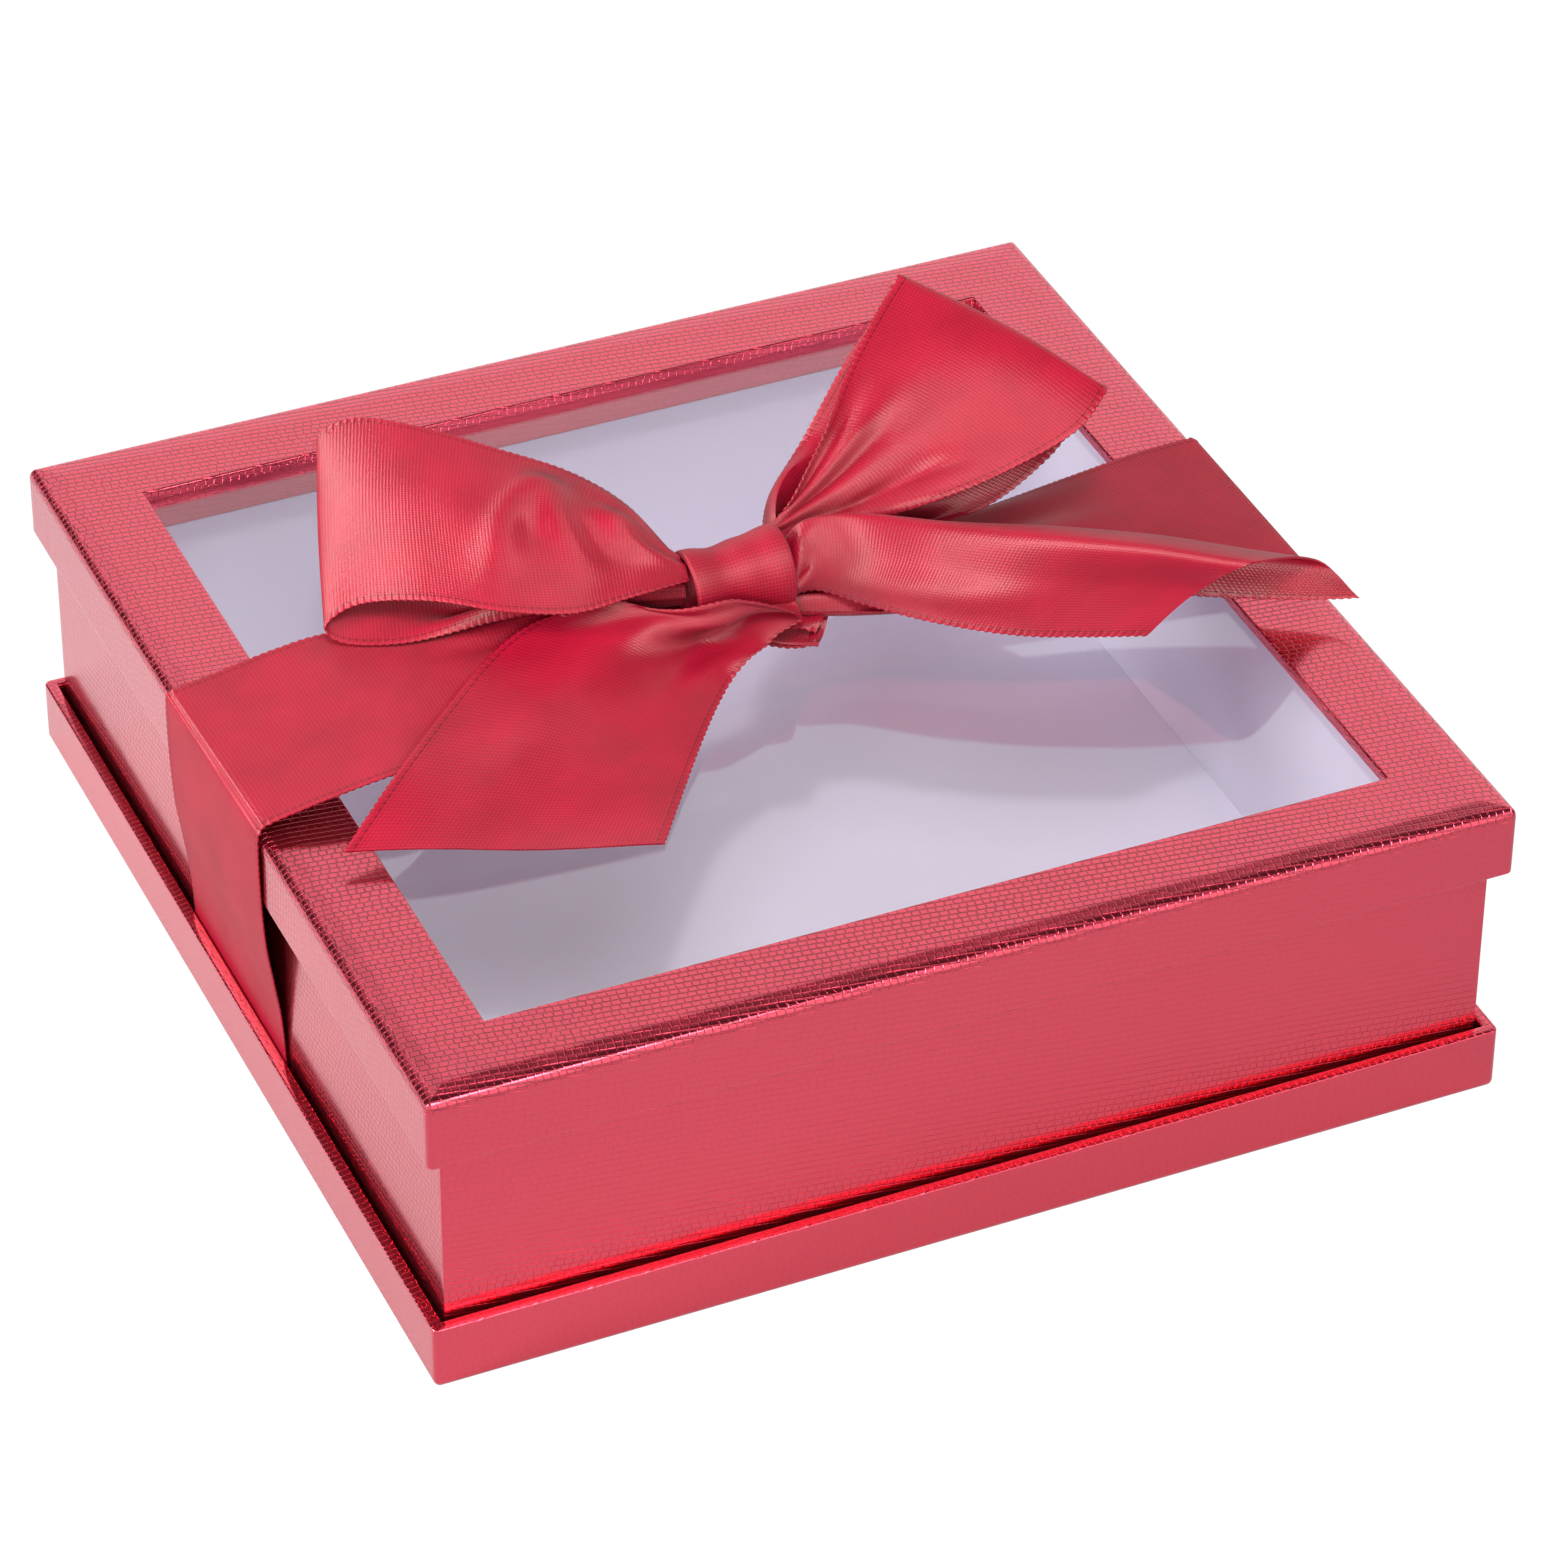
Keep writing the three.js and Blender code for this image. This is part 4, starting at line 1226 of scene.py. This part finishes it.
        left_tail = [
            [[4.8, -7.4, 7.6], [4.9, -7.2, 7.0], [5.0, -6.8, 6.4]],
            [[-4.1, -7.0, 11.6], [-1.6, -7.6, 8.4], [0.9, -7.2, 5.0]],
            [[-11.6, -6.6, 12.4], [-6.8, -8.8, 8.6], [-2.1, -8.4, 3.6]],
            [[-20.0, -2.0, 11.6], [-13.2, -8.0, 8.6], [-5.4, -10.4, 2.6]],
            [[-27.2, -0.6, 11.2], [-18.0, -8.4, 8.2], [-8.6, -13.0, 1.6]],
            [[-34.0, -0.2, 10.4], [-23.6, -10.4, 7.4], [-12.9, -17.6, 0.8]],
            [[-41.3, -3.2, 9.2], [-30.0, -14.8, 5.8], [-17.8, -23.7, 0.2]],
            [[-50.6, -10.6, 8.2], [-37.6, -22.0, 4.2], [-23.2, -30.7, -0.8]],
            [[-62.8, -21.4, 7.0], [-47.2, -31.8, 1.6], [-30.6, -40.8, film]],
            [[-74.0, -29.8, 2.6], [-56.5, -41.2, 0.6], [-38.5, -51.5, film]],
        ]
        root = right_root
        right_tail = [
            [[root, -4.0, 7.6], [root, -3.4, 9.6], [root, 0.2, 12.4], [root, 1.6, 10.6], [root, 1.4, 8.0]],
            [[9.8, -3.8, 7.0], [9.8, -3.0, 12.8], [9.6, 0.8, 16.2], [10.4, 2.0, 12.2], [10.6, 1.6, 7.8]],
            [[16.0, -7.2, 4.8], [16.6, -5.6, 11.4], [17.2, -2.0, 16.8], [19.2, 0.2, 12.4], [19.2, -0.4, 7.2]],
            [[24.2, -13.5, 3.4], [25.2, -11.6, 10.6], [26.4, -8.9, 17.0],
             [29.4, -5.2, 12.8], [28.6, -6.4, 6.2]],
            [[33.8, -19.4, 2.4], [34.6, -17.4, 10.0], [36.0, -15.2, 16.9],
             [41.4, -9.8, 12.6], [40.2, -11.2, 5.2]],
            [[42.6, -23.1, 2.0], [43.4, -21.3, 9.6], [44.8, -20.2, 16.5],
             [51.0, -13.4, 11.6], [49.8, -15.2, 4.0]],
            [[51.7, -26.8, 2.0], [52.4, -25.2, 9.2], [53.4, -24.9, 15.8],
             [59.8, -17.4, 10.6], [58.6, -19.8, 3.0]],
            [[62.8, -31.4, 2.0], [63.0, -30.2, 8.6], [63.6, -30.2, 14.2],
             [70.6, -22.6, 8.8], [69.6, -25.2, 2.6]],
            [[74.0, -36.2, 2.4], [74.2, -35.2, 8.0], [74.6, -35.2, 12.8],
             [80.6, -27.8, 7.4], [79.4, -30.6, 3.2]],
            [[82.0, -39.8, 3.0], [82.0, -39.0, 7.6], [82.4, -38.8, 11.6],
             [87.4, -32.6, 6.8], [86.2, -35.2, 5.0]],
        ]
        left_run, right_run = self.run(-1, left_gather), self.run(1, right_gather)
        lid = ("lid_cover", "window_film")
        return [
            RibbonStrip("ribbon_left", "ribbon_run_left", left_run, 121.0, "stretched", lid),
            RibbonStrip("ribbon_right", "ribbon_run_right", right_run, 125.0, "stretched", lid),
            RibbonStrip(
                "loop_left", "bow_loop_left", self.on_lid(left_loop), 113.0, "folded", ("ribbon_left",),
                hidden=0.85, folds=(
                    Fold(
                        ((0.09, 0.31), (0.27, 0.267), (0.8, 0.215), (0.46, 0.174), (0.17, 0.12)),
                        3.2, -1.3, (0.4, 0.3),
                    ),
                    Fold(((0.55, 0.218), (0.3, 0.228)), 3.6, 1.4, (0.5, 0.5)),
                    Fold(((0.8, 0.175), (0.32, 0.129), (0.22, 0.072)), 3.2, 0.8, (0.4, 0.3)),
                    Fold(((0.9, 0.12), (0.41, 0.076), (0.24, 0.0)), 3.0, -0.8, (0.4, 0.2)),
                ),
            ),
            RibbonStrip(
                "loop_right", "bow_loop_right", self.on_lid(right_loop), 104.0, "folded", ("knot_band",),
                pleats=(3.0, 0.0, 1.7), hidden=0.6, folds=(
                    Fold(((0.19, 0.13), (0.24, 0.2), (0.22, 0.27), (0.14, 0.32)), 1.8, -0.9, (0.2, 0.5)),
                ),
            ),
            RibbonStrip(
                "tail_left", "bow_tail_left", self.on_lid(left_tail), 70.0, "laid", lid, cut=(9, 8),
                pleats=(1.0, 0.6, 2.0), folds=(
                    Fold(((0.42, 0.1), (0.4, 0.45), (0.36, 0.75), (0.34, 1.0)), 4.5, 0.9, (0.3, 0.3)),
                    Fold(((0.72, 0.1), (0.74, 0.4), (0.7, 0.8)), 4.0, -0.8, (0.3, 0.4)),
                ),
            ),
            RibbonStrip(
                "tail_right", "bow_tail_right", self.on_lid(right_tail), 70.0, "folded", lid, cut=(6, 8.5),
                columns=60, pleats=(2.0, 0.0, 0.45), folds=(
                    Fold(((0.36, 0.02), (0.38, 0.18)), 3.0, 1.0, (0.3, 0.5)),
                    Fold(((0.2, 0.02), (0.2, 0.12)), 1.8, -0.8, (0.2, 0.5)),
                    Fold(((0.12, 0.2), (0.16, 0.5), (0.2, 0.75)), 3.2, 0.8, (0.3, 0.5)),
                ),
            ),
        ]

    def build(self) -> list[bpy.types.Object]:
        """Build the knot, the crossing and the strips.

        Returns:
            The pieces.
        """
        up = self.sizes.height + self.knot_height
        half_thick = self.thick * self.knot_half_share
        knot = KnotBand(self.knot_left, self.knot_right, up, self.width, half_thick)
        pieces = [knot.build(self.finishes.tight_satin)]
        for strip in (self.crossing(), *self.strips()):
            pieces.append(strip.build(self.finishes.satin))
        return pieces

    def crossing(self) -> RibbonStrip:
        """The end of the first crossing: ribbon folded to and fro under the knot.

        Across the ribbon it lies in four layers, one on another, that narrow towards the tip.

        Returns:
            The strip, not yet built.
        """
        stations = self.on_lid([
            [[-1.6, -3.2, 1.0], [0.4, 3.8, 1.4], [-1.0, -4.0, 2.0], [0.8, 3.4, 2.6], [-0.6, -3.0, 3.2]],
            [[1.8, -6.2, 0.7], [5.4, 0.6, 1.0], [2.2, -6.6, 1.6], [5.6, 0.4, 2.4], [2.8, -5.4, 3.3]],
            [[4.6, -7.8, 0.7], [9.0, -2.0, 0.9], [5.0, -8.0, 1.5], [9.6, -2.0, 2.1], [5.4, -6.6, 3.3]],
            [[7.4, -8.4, 0.7], [10.6, -3.6, 0.8], [7.6, -8.4, 1.2], [11.4, -3.6, 1.8], [7.8, -7.2, 2.5]],
        ])
        return RibbonStrip(
            "crossing_fold", "bow_crossing", stations, 11.0, "folded", ("window_film",), rows=60, columns=70,
        )


# The studio


@dataclass(frozen=True)
class Lamp:
    """A round soft lamp that faces the middle of the box; sizes in metres and watts."""

    name: str
    direction: Point
    size: float
    distance: float
    energy: float
    lights_matt: bool = True
    lights_gloss: bool = True


HIGH_FRONT = (-0.176, -0.441, 0.88)
LOW_LEFT = (-0.9, 0.12, 0.38)
LAMPS = (
    Lamp("key", HIGH_FRONT, 0.08, 1.4, 3.6, lights_gloss=False),
    Lamp("softbox", HIGH_FRONT, 0.75, 1.45, 7.8, lights_gloss=False),
    Lamp("top_glint", (0.05, -0.55, 0.83), 0.7, 1.45, 8.0, lights_matt=False),
    Lamp("side_softbox", LOW_LEFT, 0.45, 1.3, 11.5),
    Lamp("right_softbox", (0.8, 0.08, 0.56), 0.8, 1.4, 2.6),
)
SATIN_LAMPS = (
    Lamp("back_glint", (-0.42, 0.7, 0.57), 0.4, 1.3, 8.0, lights_matt=False),
    Lamp("front_glint", (-0.44, -0.76, 0.48), 0.4, 1.4, 12.0),
    Lamp("knot_glint", (0.22, -0.6, 0.75), 0.3, 1.4, 5.0, lights_matt=False),
    Lamp("side_glint", LOW_LEFT, 0.45, 1.3, 10.0),
)


@dataclass
class Studio:
    """Floor, light and camera.

    The camera's place is in millimetres and the floor's in metres. Each pair of a screen's limits is
    where its reflection begins and where it is full: on its sides, by how far the way faces the back
    of the room, and at its top, by how steeply the way goes up.
    """

    azimuth: float = math.radians(-24.05)
    elevation: float = math.radians(36.63)
    distance: float = 945.08
    aim: Point = (-3.833, -18.180, 38.292)
    roll: float = 0.00663
    focal_share: float = 6531 / 1546
    sensor: float = 36.0
    floor_reach: float = 6.0
    floor_level: float = -0.0001
    white: float = 1.02
    back_glow: float = 0.16
    near_glow: float = 0.08
    all_round: Color = (0.5, 0.5, 0.51)
    dark_room: Color = (0.035, 0.035, 0.04)
    back_white: Color = (0.97, 0.96, 0.97)
    front_white: Color = (1.3, 1.27, 1.26)
    back_screen: tuple[Pair, Pair] = ((0.58, 0.8), (0.72, 0.685))
    front_screen: tuple[Pair, Pair] = ((0.0, -0.4), (0.74, 0.6))

    def build(self) -> None:
        """Set up everything round the object."""
        self.camera()
        self.floor()
        self.world()
        self.hang(LAMPS)
        bpy.context.scene.view_settings.view_transform = "Standard"

    def camera(self) -> None:
        """Put the camera where the photograph was taken from."""
        a, e = self.azimuth, self.elevation
        back = Vector((math.sin(a) * math.cos(e), -math.cos(a) * math.cos(e), math.sin(e)))
        right = Vector((0, 0, 1)).cross(back).normalized()
        up = back.cross(right)
        c, s = math.cos(self.roll), math.sin(self.roll)
        rolled_right = c * right + s * up
        rolled_up = c * up - s * right
        data = bpy.data.cameras.new("camera")
        data.sensor_width = self.sensor
        data.lens = self.sensor * self.focal_share
        data.clip_start = 0.05
        data.clip_end = 20
        camera = bpy.data.objects.new("camera", data)
        place = (Vector(self.aim) + back * self.distance) * MM
        turned = Matrix((rolled_right, rolled_up, back)).transposed().to_4x4()
        camera.matrix_world = Matrix.Translation(place) @ turned
        bpy.context.scene.collection.objects.link(camera)
        bpy.context.scene.camera = camera

    def floor(self) -> None:
        """A wide pale floor just under the box, plain white to the camera, that glows a little.

        It glows more towards the back, and round the box.
        """
        corners = [(-1, -1), (1, -1), (1, 1), (-1, 1)]
        points = [(x * self.floor_reach, y * self.floor_reach, self.floor_level) for x, y in corners]
        mesh = bpy.data.meshes.new("studio_floor")
        mesh.from_pydata(points, [], [(0, 1, 2, 3)])
        floor = bpy.data.objects.new("studio_floor", mesh)
        bpy.context.scene.collection.objects.link(floor)
        r = Recipe("studio_floor")
        at_back = r.rise(r.axes(r.place())[1], -0.12, 0.12)
        from_middle = r.node("VectorMath", {0: r.place()}, operation="LENGTH").outputs["Value"]
        near = r.rise(from_middle, 0.2, 0.1)
        matt = {
            "Base Color": (0.49, 0.49, 0.495, 1), "Roughness": 0.9, "Specular IOR Level": 0.0,
            "Emission Color": (1, 1, 1, 1),
            "Emission Strength": r.plus(r.times(at_back, self.back_glow), r.times(near, self.near_glow)),
        }
        lit = r.node("BsdfPrincipled", matt).outputs[0]
        plain = r.node("Emission", {"Color": (1, 1, 1, 1), "Strength": self.white}).outputs[0]
        seen = r.node("LightPath").outputs["Is Camera Ray"]
        mesh.materials.append(r.surface(r.node("MixShader", {0: seen, 1: lit, 2: plain}).outputs[0]))

    def world(self) -> None:
        """Pale light all round, and white to the camera; in reflections, a dark room with two screens."""
        world = bpy.data.worlds.new("studio")
        world.use_nodes = True
        w = Wiring(world.node_tree)
        way = w.node("TexCoord").outputs["Generated"]
        forward = (math.sin(-self.azimuth), math.cos(-self.azimuth), 0.0)
        facing = w.node("VectorMath", {0: way, 1: forward}, operation="DOT_PRODUCT").outputs["Value"]
        upward = w.axes(way)[2]
        color = rgba(self.dark_room)
        screens = ((self.back_screen, self.back_white), (self.front_screen, self.front_white))
        for (sides, top), white in screens:
            color = w.mix(w.times(w.rise(facing, *sides), w.rise(upward, *top)), color, rgba(white))
        ray = w.node("LightPath").outputs
        color = w.mix(ray["Is Glossy Ray"], rgba(self.all_round), color)
        color = w.mix(ray["Is Camera Ray"], color, rgba((1, 1, 1), self.white))
        w.close("OutputWorld", w.node("Background", {"Color": color, "Strength": 1.0}).outputs[0])
        world.cycles.sampling_method = "NONE"
        bpy.context.scene.world = world

    def hang(self, lamps: tuple[Lamp, ...], only: list[bpy.types.Object] | None = None) -> None:
        """Hang lamps, each turned to the box.

        Args:
            lamps: the lamps.
            only: the pieces that they light, where they don't light everything.
        """
        lit = None
        if only:
            lit = bpy.data.collections.new("lit_pieces")
            for piece in only:
                lit.objects.link(piece)
        for lamp in lamps:
            data = bpy.data.lights.new(lamp.name, "AREA")
            data.shape = "DISK"
            data.size = lamp.size
            data.energy = lamp.energy
            light = bpy.data.objects.new(lamp.name, data)
            way = Vector(lamp.direction).normalized()
            turned = way.to_track_quat("Z", "Y").to_matrix().to_4x4()
            light.matrix_world = Matrix.Translation(way * lamp.distance) @ turned
            light.visible_diffuse = lamp.lights_matt
            light.visible_glossy = lamp.lights_gloss
            light.light_linking.receiver_collection = lit
            bpy.context.scene.collection.objects.link(light)


def main() -> None:
    """Build the studio and the object, piece by piece."""
    studio = Studio()
    studio.build()
    sizes = BoxSizes()
    finishes = Wardrobe()
    Tray(sizes, finishes).build()
    Neck(sizes, finishes).build()
    Lid(sizes, finishes).build()
    for board in ("tray", "neck", "lid"):
        for corner in ("front_left", "front_right", "back_right", "back_left"):
            dress(f"{board}_stay_{corner}", finishes.stay)
    ribbon = Bow(sizes, finishes).build()
    studio.hang(SATIN_LAMPS, only=ribbon)


if __name__ == "__main__":
    main()
